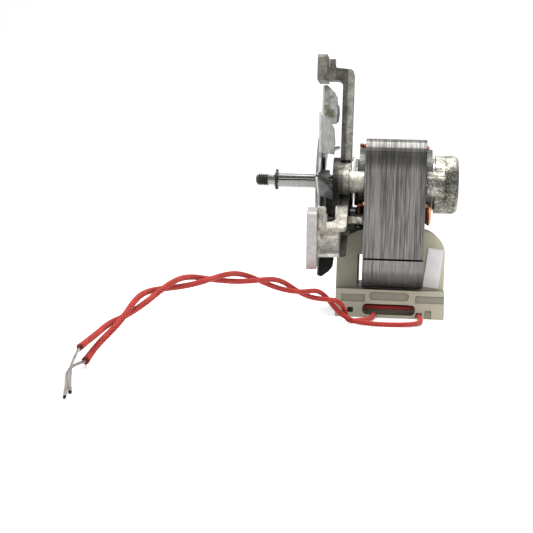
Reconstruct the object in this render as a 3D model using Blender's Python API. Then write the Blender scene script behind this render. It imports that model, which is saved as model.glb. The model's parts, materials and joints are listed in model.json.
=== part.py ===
"""Shaded-pole fan motor of a domestic oven, built piece by piece.

X runs along the shaft towards the motor's rear, Y away from the terminal box, Z up. The motor stands on the
bottom of its bobbin, which is Z = 0, and the origin lies under the middle of the motor. Metres throughout.
"""

import math

import bmesh
import bpy
import numpy as np
from mathutils import Matrix, Vector

# Fits
CLEARANCE = 0.0003
AIR_GAP = 0.0004
SEAM = 0.0001
CUT_MARGIN = 0.0010
LARGE_STEPS = 40
TURNED_STEPS = 28
SMALL_STEPS = 16

# Heights: the core sits just above the terminal box, and the shaft at its own distance above the core
BOX_TOP = 0.0117
CORE_SEAT = 0.0008
CORE_BOTTOM = -0.0437
SHAFT_HEIGHT = BOX_TOP + CORE_SEAT - CORE_BOTTOM
AXIS_Y = 0.0

# Laminated cores
STACK_FRONT_X = 0.0036
STACK_LENGTH = 0.025
CORE_HALF_WIDTH = 0.032
CORE_TOP = 0.0182
CORE_SPLIT = -0.0316
CORE_SPLIT_GAP = 0.0008
CORE_CORNER_RADIUS = 0.0085
LEG_WIDTH = 0.012
WINDOW_TOP = -0.0193
BORE_RADIUS = 0.0155

# Shading rings
SHADING_RADIUS = 0.0173
SHADING_WIRE = 0.0016
SHADING_ANGLES = (213.0, 249.0)
SHADING_OVERHANG = 0.0022
SHADING_BEND = 0.0024

# Rotor
SHAFT_RADIUS = 0.003
SHAFT_TIP_X = -0.0446
THREAD_RADIUS = 0.0025
THREAD_LENGTH = 0.0054
NECK_RADIUS = 0.0022
NECK_LENGTH = 0.0026
CLIP_SETBACK = 0.0005
CLIP_THICKNESS = 0.0009
CLIP_RADIUS = 0.0048
CLIP_LOBES = 3
CLIP_LOBE_DEPTH = 0.0008
CLIP_GROOVE_RADIUS = 0.0023
SHAFT_CHAMFER = 0.0004
ROTOR_RING_HEIGHT = 0.0030
ROTOR_RING_WALL = 0.0042
ROTOR_BARS = 17
ROTOR_BAR_DEPTH = 0.0034
ROTOR_BAR_WIDTH = 0.0018

# Cooling fan
FAN_FRONT_X = -0.0174
FAN_SHEET = 0.0007
FAN_DISC_RADIUS = 0.0198
FAN_BLADES = 8
FAN_FIRST_BLADE = 94.0
FAN_BLADE_OUTER = 0.0416
FAN_BLADE_LEAN = 0.0013
FAN_BEND_RADIUS = 0.0012
FAN_FLANGE = 0.0005
FAN_SEAM = 0.00005
# Each blade's depth from the fan's front, from its root to its tip
FAN_BLADE_DEPTHS = (
    (0.0155, 0.0075),
    (0.0198, 0.0074),
    (0.0230, 0.0073),
    (0.0300, 0.0083),
    (0.0360, 0.0081),
    (0.0384, 0.0067),
    (FAN_BLADE_OUTER, 0.0033),
)
FAN_BUSH_RADIUS = 0.0050
FAN_BUSH_LENGTH = 0.0040
FAN_BUSH_NECK = 0.0006
FAN_BUSH_LIP = 0.0006

# Front bracket
MOUNT_X = -0.0185
FOOT_THICKNESS = 0.0041
FOOT_HEIGHT = 0.0109
FOOT_WIDTH = 0.0236
FOOT_CORNER = 0.0012
UPPER_FOOT_RISE = 0.00025
LOWER_FOOT_INSET = 0.0032
LOWER_FOOT_DROP = 0.0232
ARM_ANGLES = (90.0, 211.0, 329.0)
ARM_WIDTH = 0.0140
ARM_OUTER = 0.0482
ARM_RISE = 0.0010
ARM_DEPTH = 0.0045
ARM_REAR_X = -0.0030
ARM_THICKNESS = 0.0046
ARM_INNER_RADIUS = 0.0026
ARM_OUTER_RADIUS = 0.0018
CHANNEL_LIP = 0.0018
CHANNEL_WEB = 0.0018
CHANNEL_BEND = 0.0014
NUB_LENGTH = 0.0023
NUB_GAP = 0.0008
NUB_RISE = 0.0045
NUB_FLARE = 0.0012
NUB_WIDTH = 0.0070
HUB_RADIUS = 0.0105
HUB_FRONT_X = -0.0107
HUB_PROUD = 0.0003
BAR_HALF_HEIGHT = 0.0052
POST_RADIUS = 0.0045
POST_COLLAR = 0.0004
POST_INSET = 0.0065
PIN_RADIUS = 0.0021
PIN_Y = 0.0190
PIN_DROP = 0.0156

# Bearings
BEARING_RADIUS = 0.0055
BEARING_LENGTH = 0.0060
BEARING_END_RADIUS = 0.0043
FELT_WALL = 0.0016
FELT_LENGTH = 0.0030
RETAINER_RADIUS = 0.0112
RETAINER_SHEET = 0.0005
WASHER_RADIUS = 0.0048
WASHER_THICKNESS = 0.0006

# Rear bracket
CUP_RADIUS = 0.0125
CUP_FRONT_X = 0.0330
CUP_REAR_X = 0.0430
CUP_EDGE_RADIUS = 0.0024
CUP_WALL = 0.0030
REAR_ARM_X = 0.0363
REAR_BAR_HALF_HEIGHT = 0.0047

# Screws
SCREW_RADIUS = 0.0016
SCREW_HEAD_RADIUS = 0.0032
SCREW_HEAD_HEIGHT = 0.0018
SCREW_CHAMFER = 0.0005

# Bobbin
CHEEK_FRONT_X = -0.0074
CHEEK_REAR_X = 0.0379
CHEEK_TOP = -0.0198
CHEEK_THICKNESS = 0.0012
CHEEK_FRONT_CORNER = 0.0125
CHEEK_REAR_CORNER = 0.0095
TUBE_FRONT_X = 0.0015
TUBE_WALL = 0.0011
TUBE_CORNER = 0.0010
TUBE_TOP_GAP = 0.0013
WINDING_DEPTH = 0.0050
TAPE_THICKNESS = 0.0004

# Terminal box
BOX_DEPTH = 0.0062
BOX_WALL = 0.0012
BOX_FRONT_INSET = 0.0003
BOX_REAR_PROUD = 0.0001

# Openings in the terminal box's face
RECESS_DEPTH = 0.0007
BLIND_X = (0.0069, 0.0234)
BLIND_DROP = 0.0010
BLIND_HEIGHT = 0.0034
FRONT_SLOT_X = (-0.0047, 0.0052)
REAR_SLOT_X = 0.0260
SLOT_DROP = 0.0021
SLOT_HEIGHT = 0.0031
LEAD_WINDOW_X = (0.0042, 0.0260)
LEAD_WINDOW_LIFT = 0.0013
LEAD_WINDOW_HEIGHT = 0.0044
SMALL_WINDOW_X = (-0.0021, 0.0004)
SMALL_WINDOW_LIFT = 0.0019
SMALL_WINDOW_HEIGHT = 0.0022
NOTCH_X = (0.0300, 0.0328)
NOTCH_HEIGHT = 0.0036
SMALL_CORNER = 0.0003

# Leads and details in the box
LEAD_A_EXIT_X = 0.0276
LEAD_B_EXIT_X = 0.0089
PIN_THICKNESS = 0.0008
PIN_LENGTH = 0.0050
PIN_OFFSET = 0.0035
FUSE_LENGTH = 0.0090
FUSE_RADIUS = 0.0015
FUSE_EDGE = 0.0004
FUSE_X = 0.0130

# Rating label
LABEL_WIDTH = 0.0066
LABEL_HEIGHT = 0.0164
LABEL_TURN = 7.0
LABEL_THICKNESS = 0.0002

# Leads
LEAD_DIAMETER = 0.0019
TWIST_RADIUS = 0.00135
CONDUCTOR_DIAMETER = 0.0010
LEAD_POINT_SPACING = 0.0066
CONDUCTOR_POINT_SPACING = 0.0100
LEAD_REST = 0.00125
LEAD_SETBACK = 0.0030
INNER_RUN_HEIGHT = 0.0042
INNER_RUN_START_X = 0.0050
INNER_RUN_END_X = 0.0251

MATERIALS = {}


def material(name, colour, roughness, metallic=0.0):
    """Return the Principled material of that name, made on first use."""
    if name not in MATERIALS:
        made = bpy.data.materials.new(name)
        made.use_nodes = True
        shader = made.node_tree.nodes["Principled BSDF"]
        shader.inputs["Base Color"].default_value = (*colour, 1.0)
        shader.inputs["Roughness"].default_value = roughness
        shader.inputs["Metallic"].default_value = metallic
        MATERIALS[name] = made
    return MATERIALS[name]


def add_object(name, shape, finish, smooth=True):
    """Turn a bmesh into a named object with a material of its own."""
    bmesh.ops.recalc_face_normals(shape, faces=shape.faces)
    mesh = bpy.data.meshes.new(name)
    shape.to_mesh(mesh)
    shape.free()
    if smooth:
        mesh.shade_smooth()
        mesh.set_sharp_from_angle(angle=math.radians(35.0))
    mesh.materials.append(finish)
    made = bpy.data.objects.new(name, mesh)
    bpy.context.scene.collection.objects.link(made)
    return made


def add_cutter(name, shape):
    """Turn a bmesh into a hidden object that only cuts or joins others."""
    made = add_object(name, shape, material("cutter", (0.5, 0.5, 0.5), 0.5), smooth=False)
    made.hide_render = True
    made.display_type = "WIRE"
    return made


def apply_boolean(target, other, operation):
    """Cut the other object out of the target, or join it on."""
    modifier = target.modifiers.new(f"{operation.lower()} {other.name}", "BOOLEAN")
    modifier.operation = operation
    modifier.solver = "EXACT"
    modifier.object = other


def arc(centre, radius, start, end, steps):
    """Points along an arc, in degrees, both ends included."""
    angles = np.radians(np.linspace(start, end, steps + 1))
    return [(centre[0] + radius * math.cos(a), centre[1] + radius * math.sin(a)) for a in angles]


def rounded_box(low, high, radii, steps=5):
    """Outline of a box whose corners, from low-low anticlockwise, have their own radii."""
    corners = (
        (low[0], low[1], 1, 1, 180.0),
        (high[0], low[1], -1, 1, 270.0),
        (high[0], high[1], -1, -1, 0.0),
        (low[0], high[1], 1, -1, 90.0),
    )
    points = []
    for (u, v, step_u, step_v, start), radius in zip(corners, radii):
        if radius <= 0.0:
            points.append((u, v))
        else:
            centre = (u + step_u * radius, v + step_v * radius)
            points += arc(centre, radius, start, start + 90.0, steps)
    return points


def extrude(outline, low, high, place):
    """Solid between two heights over a plane outline; place maps (u, v, w) to a point."""
    shape = bmesh.new()
    base = shape.faces.new([shape.verts.new(place(u, v, low)) for u, v in outline])
    grown = bmesh.ops.extrude_face_region(shape, geom=[base])
    lifted = [item for item in grown["geom"] if isinstance(item, bmesh.types.BMVert)]
    shift = Vector(place(0.0, 0.0, high)) - Vector(place(0.0, 0.0, low))
    bmesh.ops.translate(shape, verts=lifted, vec=shift)
    return shape


def along_x(u, v, w):
    """Outline in Y and height above the shaft, extruded along X."""
    return (w, AXIS_Y + u, SHAFT_HEIGHT + v)


def along_y(u, v, w):
    """Outline in X and height above the floor, extruded along Y."""
    return (u, w, v)


def turned(profile, steps, centre=(0.0, 0.0)):
    """Spin a profile of (x, radius) points about the shaft's axis, moved aside by centre."""
    shape = bmesh.new()
    axis_point = Vector((0.0, AXIS_Y + centre[0], SHAFT_HEIGHT + centre[1]))
    verts = [shape.verts.new(axis_point + Vector((x, 0.0, radius))) for x, radius in profile]
    closed = min(radius for _, radius in profile) > 0.0
    pairs = list(zip(verts, verts[1:] + verts[:1])) if closed else list(zip(verts, verts[1:]))
    edges = [shape.edges.new(pair) for pair in pairs]
    bmesh.ops.spin(
        shape,
        geom=verts + edges,
        cent=axis_point,
        axis=(1.0, 0.0, 0.0),
        angle=2.0 * math.pi,
        steps=steps,
        use_merge=True,
        use_duplicate=False,
    )
    bmesh.ops.remove_doubles(shape, verts=shape.verts, dist=0.000001)
    return shape


def merge(shapes):
    """Put several separate shapes into one bmesh."""
    whole = bmesh.new()
    for shape in shapes:
        mesh = bpy.data.meshes.new("part of a cutter")
        shape.to_mesh(mesh)
        shape.free()
        whole.from_mesh(mesh)
        bpy.data.meshes.remove(mesh)
    return whole


def turn_about_shaft(shape, degrees):
    """Turn a shape about the shaft's axis."""
    pivot = Vector((0.0, AXIS_Y, SHAFT_HEIGHT))
    turn = Matrix.Rotation(math.radians(degrees), 3, "X")
    bmesh.ops.rotate(shape, verts=shape.verts, cent=pivot, matrix=turn)
    return shape


# Positions worked out from the driving dimensions
STACK_REAR_X = STACK_FRONT_X + STACK_LENGTH
LEG_INNER = CORE_HALF_WIDTH - LEG_WIDTH
POST_SPREAD = CORE_HALF_WIDTH - POST_INSET
CHEEK_OUTER_Y = LEG_INNER - CLEARANCE
CHEEK_INNER_Y = CHEEK_OUTER_Y - CHEEK_THICKNESS
ARM_UNDERSIDE = ARM_OUTER - ARM_DEPTH
NUB_TOP = ARM_OUTER + NUB_RISE
LOWER_FOOT_Y = ARM_OUTER - LOWER_FOOT_INSET
# Each foot's middle, as Y and height above the shaft, and the way that it points
FEET = (
    (0.0, ARM_OUTER + UPPER_FOOT_RISE, 90.0),
    (-LOWER_FOOT_Y, -LOWER_FOOT_DROP, 193.0),
    (LOWER_FOOT_Y, -LOWER_FOOT_DROP, -13.0),
)
ARM_FRONT_X = ARM_REAR_X - ARM_THICKNESS
HUB_REAR_X = ARM_REAR_X + HUB_PROUD
RETAINER_FRONT_X = HUB_REAR_X + CLEARANCE
REAR_RETAINER_X = CUP_FRONT_X - CLEARANCE - RETAINER_SHEET
SCREW_SEAT_X = ARM_FRONT_X + SCREW_HEAD_HEIGHT + 2.0 * CLEARANCE
FELT_RADIUS = BEARING_RADIUS + CLEARANCE + FELT_WALL
SHAFT_HOLE_RADIUS = SHAFT_RADIUS + CLEARANCE
BOX_FRONT_X = CHEEK_FRONT_X + BOX_FRONT_INSET
BOX_REAR_X = CHEEK_REAR_X + BOX_REAR_PROUD
BOX_BACK_Y = -CHEEK_OUTER_Y - CLEARANCE
BOX_FACE_Y = BOX_BACK_Y - BOX_DEPTH
LEAD_START_Y = BOX_FACE_Y + LEAD_SETBACK

# Points chosen along the leads: each lead's way out of the box, the middle line of the twisted pair with a
# half turn between one point and the next, each sleeve's free end, and the bare conductors
LEAD_A_START = (
    (LEAD_A_EXIT_X, LEAD_START_Y, LEAD_REST),
    (0.0278, -0.0330, LEAD_REST),
    (0.0280, -0.0440, LEAD_REST),
    (0.0268, -0.0535, LEAD_REST),
    (0.0222, -0.0605, LEAD_REST),
    (0.0145, -0.0632, LEAD_REST),
    (0.0070, -0.0612, LEAD_REST),
)
LEAD_B_START = (
    (LEAD_B_EXIT_X, LEAD_START_Y, LEAD_REST),
    (0.0089, -0.0310, LEAD_REST),
    (0.0082, -0.0400, LEAD_REST),
    (0.0050, -0.0490, LEAD_REST),
)
PAIR_ROUTE = (
    (0.0001, -0.0550, 0.0016),
    (-0.0074, -0.0620, 0.0099),
    (-0.0183, -0.0780, 0.0141),
    (-0.0317, -0.1000, 0.0197),
    (-0.0467, -0.1280, 0.0215),
    (-0.0590, -0.1570, 0.0193),
    (-0.0672, -0.1820, 0.0110),
)
LEAD_B_END = ((-0.0703, -0.1915, 0.0088), (-0.0722, -0.2030, 0.0064))
LEAD_A_END = ((-0.0699, -0.1908, 0.0056), (-0.0712, -0.2000, 0.0022))
CONDUCTOR_B_ROUTE = (
    (-0.0723, -0.2034, 0.0062),
    (-0.0715, -0.2150, 0.0030),
    (-0.0681, -0.2300, 0.0011),
    (-0.0643, -0.2445, 0.0006),
)
CONDUCTOR_A_ROUTE = (
    (-0.0713, -0.2004, 0.0021),
    (-0.0729, -0.2090, 0.0016),
    (-0.0722, -0.2170, 0.0010),
    (-0.0686, -0.2320, 0.0006),
    (-0.0638, -0.2520, 0.0006),
)


def build_stator_core(finish):
    """C-shaped laminations with the rotor's bore, the screw holes and the shading slots."""
    half, bottom = CORE_HALF_WIDTH, CORE_SPLIT + CORE_SPLIT_GAP / 2.0
    radius = CORE_CORNER_RADIUS
    outline = [(LEG_INNER, bottom), (half, bottom)]
    outline += arc((half - radius, CORE_TOP - radius), radius, 0.0, 90.0, 8)
    outline += arc((radius - half, CORE_TOP - radius), radius, 90.0, 180.0, 8)
    outline += [(-half, bottom), (-LEG_INNER, bottom), (-LEG_INNER, WINDOW_TOP), (LEG_INNER, WINDOW_TOP)]
    core = add_object("stator_core", extrude(outline, STACK_FRONT_X, STACK_REAR_X, along_x), finish)
    reach = (STACK_FRONT_X - CUT_MARGIN, STACK_REAR_X + CUT_MARGIN)
    bore = [(reach[0], 0.0), (reach[0], BORE_RADIUS), (reach[1], BORE_RADIUS), (reach[1], 0.0)]
    holes = [turned(bore, LARGE_STEPS)]
    screw_hole = SCREW_RADIUS + CLEARANCE
    for side in (-1.0, 1.0):
        profile = [(reach[0], 0.0), (reach[0], screw_hole), (reach[1], screw_hole), (reach[1], 0.0)]
        holes.append(turned(profile, SMALL_STEPS, (side * POST_SPREAD, 0.0)))
    slot = SHADING_WIRE / 2.0 + CLEARANCE
    for low, high in shading_bars():
        along = (high - low).normalized() * slot
        across = Vector((-along.y, along.x))
        for bar in (low, high):
            outline = [bar - along - across, bar + along - across, bar + along + across, bar - along + across]
            holes.append(extrude(outline, *reach, along_x))
    apply_boolean(core, add_cutter("bore and slots", merge(holes)), "DIFFERENCE")


def shading_bars():
    """Centres of each shading ring's two bars, as Y and height above the shaft, pole after pole."""
    bars = []
    for pole in (0.0, 180.0):
        angles = [math.radians(angle + pole) for angle in SHADING_ANGLES]
        bars.append([Vector((math.cos(a), math.sin(a))) * SHADING_RADIUS for a in angles])
    return bars


def chord_plane(low, high):
    """Place for outlines in X and distance along the chord between two bars, extruded across it."""
    middle = (low + high) / 2.0
    along = (high - low).normalized()
    across = Vector((-along.y, along.x))

    def place(u, v, w):
        point = middle + along * v + across * w
        return along_x(point.x, point.y, u)

    return place


def build_shading_rings(finish):
    """A closed copper loop in each pole: two bars through the core and a bridge at each end."""
    half = SHADING_WIRE / 2.0
    front, rear = STACK_FRONT_X - SHADING_OVERHANG, STACK_REAR_X + SHADING_OVERHANG
    for number, (low, high) in enumerate(shading_bars(), start=1):
        place = chord_plane(low, high)
        reach = (high - low).length / 2.0
        outer = rounded_box((front, -reach - half), (rear, reach + half), (SHADING_BEND,) * 4, 4)
        ring = add_object(f"shading_ring_{number}", extrude(outer, -half, half, place), finish)
        low_inside = (front + SHADING_WIRE, half - reach)
        high_inside = (rear - SHADING_WIRE, reach - half)
        inner = rounded_box(low_inside, high_inside, (SHADING_BEND - SHADING_WIRE,) * 4, 2)
        hole = extrude(inner, -SHADING_WIRE, SHADING_WIRE, place)
        apply_boolean(ring, add_cutter(f"inside of ring {number}", hole), "DIFFERENCE")


def build_coil_core(finish):
    """Straight laminations that pass through the coil."""
    half = CORE_HALF_WIDTH
    radius = CORE_CORNER_RADIUS
    outline = rounded_box(
        (-half, CORE_BOTTOM), (half, CORE_SPLIT - CORE_SPLIT_GAP / 2.0), (radius, radius, 0.0, 0.0), 8
    )
    add_object("coil_core", extrude(outline, STACK_FRONT_X, STACK_REAR_X, along_x), finish)


def tube_box(growth):
    """Outline in X and Z of the bobbin's tube, grown on every side from its inner wall."""
    low = (TUBE_FRONT_X - growth, SHAFT_HEIGHT + CORE_BOTTOM - CLEARANCE - growth)
    high = (STACK_REAR_X + CLEARANCE + growth, SHAFT_HEIGHT + CORE_SPLIT + TUBE_TOP_GAP + growth)
    return low, high


def build_bobbin(finish):
    """Coil former: two cheeks joined by a square tube."""
    top = SHAFT_HEIGHT + CHEEK_TOP
    outline = rounded_box(
        (CHEEK_FRONT_X, 0.0), (CHEEK_REAR_X, top), (0.0, 0.0, CHEEK_REAR_CORNER, CHEEK_FRONT_CORNER), 8
    )
    bobbin = add_object("bobbin", extrude(outline, -CHEEK_OUTER_Y, -CHEEK_INNER_Y, along_y), finish)
    far_cheek = extrude(outline, CHEEK_INNER_Y, CHEEK_OUTER_Y, along_y)
    apply_boolean(bobbin, add_cutter("far cheek", far_cheek), "UNION")
    overlap = CHEEK_THICKNESS / 2.0
    tube = rounded_box(*tube_box(TUBE_WALL), (TUBE_CORNER,) * 4, 3)
    reach = CHEEK_INNER_Y + overlap
    apply_boolean(bobbin, add_cutter("tube", extrude(tube, -reach, reach, along_y)), "UNION")
    inside = rounded_box(*tube_box(0.0), (0.0,) * 4)
    reach = CHEEK_OUTER_Y + CUT_MARGIN
    apply_boolean(bobbin, add_cutter("tube inside", extrude(inside, -reach, reach, along_y)), "DIFFERENCE")


def ring_round_tube(name, inner, outer, half_length, finish):
    """Closed wrap of even thickness round the bobbin's tube."""
    body = rounded_box(*tube_box(outer), (outer,) * 4, 6)
    wrap = add_object(name, extrude(body, -half_length, half_length, along_y), finish)
    hole = rounded_box(*tube_box(inner), (TUBE_CORNER + CLEARANCE,) * 4, 3)
    cutter = extrude(hole, -half_length - CUT_MARGIN, half_length + CUT_MARGIN, along_y)
    apply_boolean(wrap, add_cutter(f"inside of {name}", cutter), "DIFFERENCE")


def build_coil(winding_finish, tape_finish):
    """Winding round the tube and the tape over it."""
    inner = TUBE_WALL + CLEARANCE
    outer = inner + WINDING_DEPTH
    half_length = CHEEK_INNER_Y - CLEARANCE
    ring_round_tube("coil_winding", inner, outer, half_length, winding_finish)
    skin = outer + CLEARANCE + TAPE_THICKNESS
    body = rounded_box(*tube_box(skin), (skin,) * 4, 6)
    tape = add_object("coil_tape", extrude(body, -half_length, half_length, along_y), tape_finish)
    hole = rounded_box(*tube_box(outer + CLEARANCE), (outer + CLEARANCE,) * 4, 6)
    cutter = extrude(hole, -half_length - CUT_MARGIN, half_length + CUT_MARGIN, along_y)
    apply_boolean(tape, add_cutter("inside of the tape", cutter), "DIFFERENCE")


def box_shape(low, high):
    """Plain box between two corners, each a point in X, Y, Z."""
    outline = [(low[0], low[2]), (high[0], low[2]), (high[0], high[2]), (low[0], high[2])]
    return extrude(outline, low[1], high[1], along_y)


def window_shape(low, high, depth, radius, steps):
    """Opening in the box's face between two corners in X and Z, that deep, with round corners."""
    outline = rounded_box(low, high, (radius,) * 4, steps)
    return extrude(outline, BOX_FACE_Y - CUT_MARGIN, BOX_FACE_Y + depth, along_y)


def build_terminal_box(finish):
    """Shallow moulded box on the near cheek, open at its back, with windows in its face."""
    low = (BOX_FRONT_X, BOX_FACE_Y, 0.0)
    high = (BOX_REAR_X, BOX_BACK_Y, BOX_TOP)
    box = add_object("terminal_box", box_shape(low, high), finish)
    inner_low = (BOX_FRONT_X + BOX_WALL, BOX_FACE_Y + BOX_WALL, BOX_WALL)
    inner_high = (BOX_REAR_X - BOX_WALL, BOX_BACK_Y + CUT_MARGIN, BOX_TOP - BOX_WALL)
    cuts = [box_shape(inner_low, inner_high)]
    apply_boolean(box, add_cutter("box inside", merge(cuts)), "DIFFERENCE")
    through = BOX_WALL + CUT_MARGIN / 2.0
    blind_top, slot_top = BOX_TOP - BLIND_DROP, BOX_TOP - SLOT_DROP
    lead_top, small_top = LEAD_WINDOW_LIFT + LEAD_WINDOW_HEIGHT, SMALL_WINDOW_LIFT + SMALL_WINDOW_HEIGHT
    slot_low, rear_end = slot_top - SLOT_HEIGHT, BOX_REAR_X + CUT_MARGIN
    openings = (
        (BLIND_X, blind_top - BLIND_HEIGHT, blind_top, RECESS_DEPTH, BLIND_HEIGHT / 2.0, 5),
        (LEAD_WINDOW_X, LEAD_WINDOW_LIFT, lead_top, through, BLIND_HEIGHT / 2.0, 5),
        (SMALL_WINDOW_X, SMALL_WINDOW_LIFT, small_top, through, SMALL_CORNER, 1),
        (NOTCH_X, -CUT_MARGIN, NOTCH_HEIGHT, RECESS_DEPTH, SMALL_CORNER, 1),
        (FRONT_SLOT_X, slot_low, slot_top, RECESS_DEPTH, SMALL_CORNER, 1),
        ((REAR_SLOT_X, rear_end), slot_low, slot_top, RECESS_DEPTH, SMALL_CORNER, 1),
    )
    cuts = []
    for (front, rear), bottom, top, depth, radius, steps in openings:
        cuts.append(window_shape((front, bottom), (rear, top), depth, radius, steps))
    apply_boolean(box, add_cutter("box windows", merge(cuts)), "DIFFERENCE")
    half = LEAD_DIAMETER / 2.0 + CLEARANCE
    mouths = []
    for exit_x in (LEAD_A_EXIT_X, LEAD_B_EXIT_X):
        mouth_low = (exit_x - half, BOX_FACE_Y - CUT_MARGIN, -CUT_MARGIN)
        mouths.append(box_shape(mouth_low, (exit_x + half, LEAD_START_Y + CUT_MARGIN, 2.0 * half)))
    apply_boolean(box, add_cutter("lead mouths", merge(mouths)), "DIFFERENCE")


def build_terminal_details(pin_finish, fuse_finish, label_finish):
    """Pins and fuse inside the terminal box, and the blank label on the near cheek."""
    middle = (BOX_FACE_Y + BOX_WALL + BOX_BACK_Y) / 2.0
    half = PIN_THICKNESS / 2.0
    for letter, x in (("a", LEAD_A_EXIT_X + PIN_OFFSET), ("b", LEAD_A_EXIT_X - PIN_OFFSET)):
        low = (x - half, middle - half, BOX_TOP - BOX_WALL - CLEARANCE - PIN_LENGTH)
        high = (x + half, middle + half, BOX_TOP - BOX_WALL - CLEARANCE)
        add_object(f"terminal_pin_{letter}", box_shape(low, high), pin_finish)
    length, radius = FUSE_LENGTH, FUSE_RADIUS
    ends = ((-length / 2.0, radius - FUSE_EDGE), (FUSE_EDGE - length / 2.0, radius))
    profile = [(FUSE_X - length / 2.0, 0.0)]
    profile += [(FUSE_X + x, r) for x, r in ends] + [(FUSE_X - x, r) for x, r in reversed(ends)]
    profile += [(FUSE_X + length / 2.0, 0.0)]
    height = BOX_TOP - BOX_WALL - CLEARANCE - radius - SHAFT_HEIGHT
    add_object("thermal_fuse", turned(profile, 16, (middle - AXIS_Y, height)), fuse_finish)
    near = -CHEEK_OUTER_Y - CLEARANCE - LABEL_THICKNESS
    x = (STACK_REAR_X + CHEEK_REAR_X) / 2.0
    z = BOX_TOP + CORE_SEAT + LABEL_HEIGHT / 2.0 + CLEARANCE
    slope = Matrix.Rotation(math.radians(-LABEL_TURN), 2)
    half_width, half_height = LABEL_WIDTH / 2.0, LABEL_HEIGHT / 2.0
    corners = ((-half_width, -half_height), (half_width, -half_height), (half_width, half_height))
    turned_corners = [slope @ Vector(corner) for corner in corners + ((-half_width, half_height),)]
    outline = [(x + corner.x, z + corner.y) for corner in turned_corners]
    add_object("rating_label", extrude(outline, near, near + LABEL_THICKNESS, along_y), label_finish)


def arm_plane(u, v, w):
    """Outline in X and radius, extruded along Y: an arm that points straight up."""
    return (u, AXIS_Y + w, SHAFT_HEIGHT + v)


def arm_shape():
    """One arm of the front bracket, pointing up, from the hub out and forward to its foot."""
    start = HUB_RADIUS - POST_COLLAR * 3.0
    inner, outer = ARM_INNER_RADIUS, ARM_OUTER_RADIUS
    front = MOUNT_X + FOOT_THICKNESS / 2.0
    outline = [(front, ARM_UNDERSIDE)]
    outline += arc((ARM_FRONT_X - inner, ARM_UNDERSIDE - inner), inner, 90.0, 0.0, 4)
    outline += [(ARM_FRONT_X, start), (ARM_REAR_X, start)]
    outline += arc((ARM_REAR_X - outer, ARM_OUTER - outer), outer, 0.0, 90.0, 4)
    outline += [(front, ARM_OUTER + ARM_RISE)]
    half = ARM_WIDTH / 2.0
    return extrude(outline, -half, half, arm_plane)


def foot_shape(middle_y, middle_height, angle):
    """Rounded pad at the end of an arm, round its middle and pointing at that angle."""
    half_width, half_height = FOOT_WIDTH / 2.0, FOOT_HEIGHT / 2.0
    pad = rounded_box((-half_width, -half_height), (half_width, half_height), (FOOT_CORNER,) * 4, 2)
    turn = Matrix.Rotation(math.radians(angle - 90.0), 2)
    middle = Vector((middle_y, middle_height))
    outline = [middle + turn @ Vector(point) for point in pad]
    return extrude([(point.x, point.y) for point in outline], MOUNT_X, MOUNT_X + FOOT_THICKNESS, along_x)


def nub_shape():
    """Small upright block behind the upper foot, flared at its rear where it meets the arm."""
    low = MOUNT_X + FOOT_THICKNESS + NUB_GAP
    rear = low + NUB_LENGTH
    half = NUB_WIDTH / 2.0
    root = ARM_OUTER - NUB_FLARE
    outline = [(low, root), (rear + NUB_FLARE, root), (rear, ARM_OUTER + NUB_FLARE * 2.0), (rear, NUB_TOP)]
    return extrude(outline + [(low, NUB_TOP)], -half, half, arm_plane)


def channel_shape(front):
    """Pocket between an arm's lips, open outwards and to the rear, pointing up."""
    web_radius = ARM_UNDERSIDE + CHANNEL_WEB
    web_x = ARM_FRONT_X + CHANNEL_WEB
    bend = CHANNEL_BEND
    half = ARM_WIDTH / 2.0 - CHANNEL_LIP
    slope = math.radians(ARM_ANGLES[1] - 180.0)
    root = (half * math.cos(slope) + BAR_HALF_HEIGHT + POST_COLLAR * 2.0) / math.sin(slope)
    outline = [(front, web_radius)]
    outline += arc((web_x - bend, web_radius - bend), bend, 90.0, 0.0, 2)
    outline += [(web_x, root), (ARM_REAR_X + CUT_MARGIN, root)]
    beyond = NUB_TOP + FOOT_HEIGHT
    outline += [(ARM_REAR_X + CUT_MARGIN, beyond), (front, beyond)]
    return extrude(outline, -half, half, arm_plane)


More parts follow.
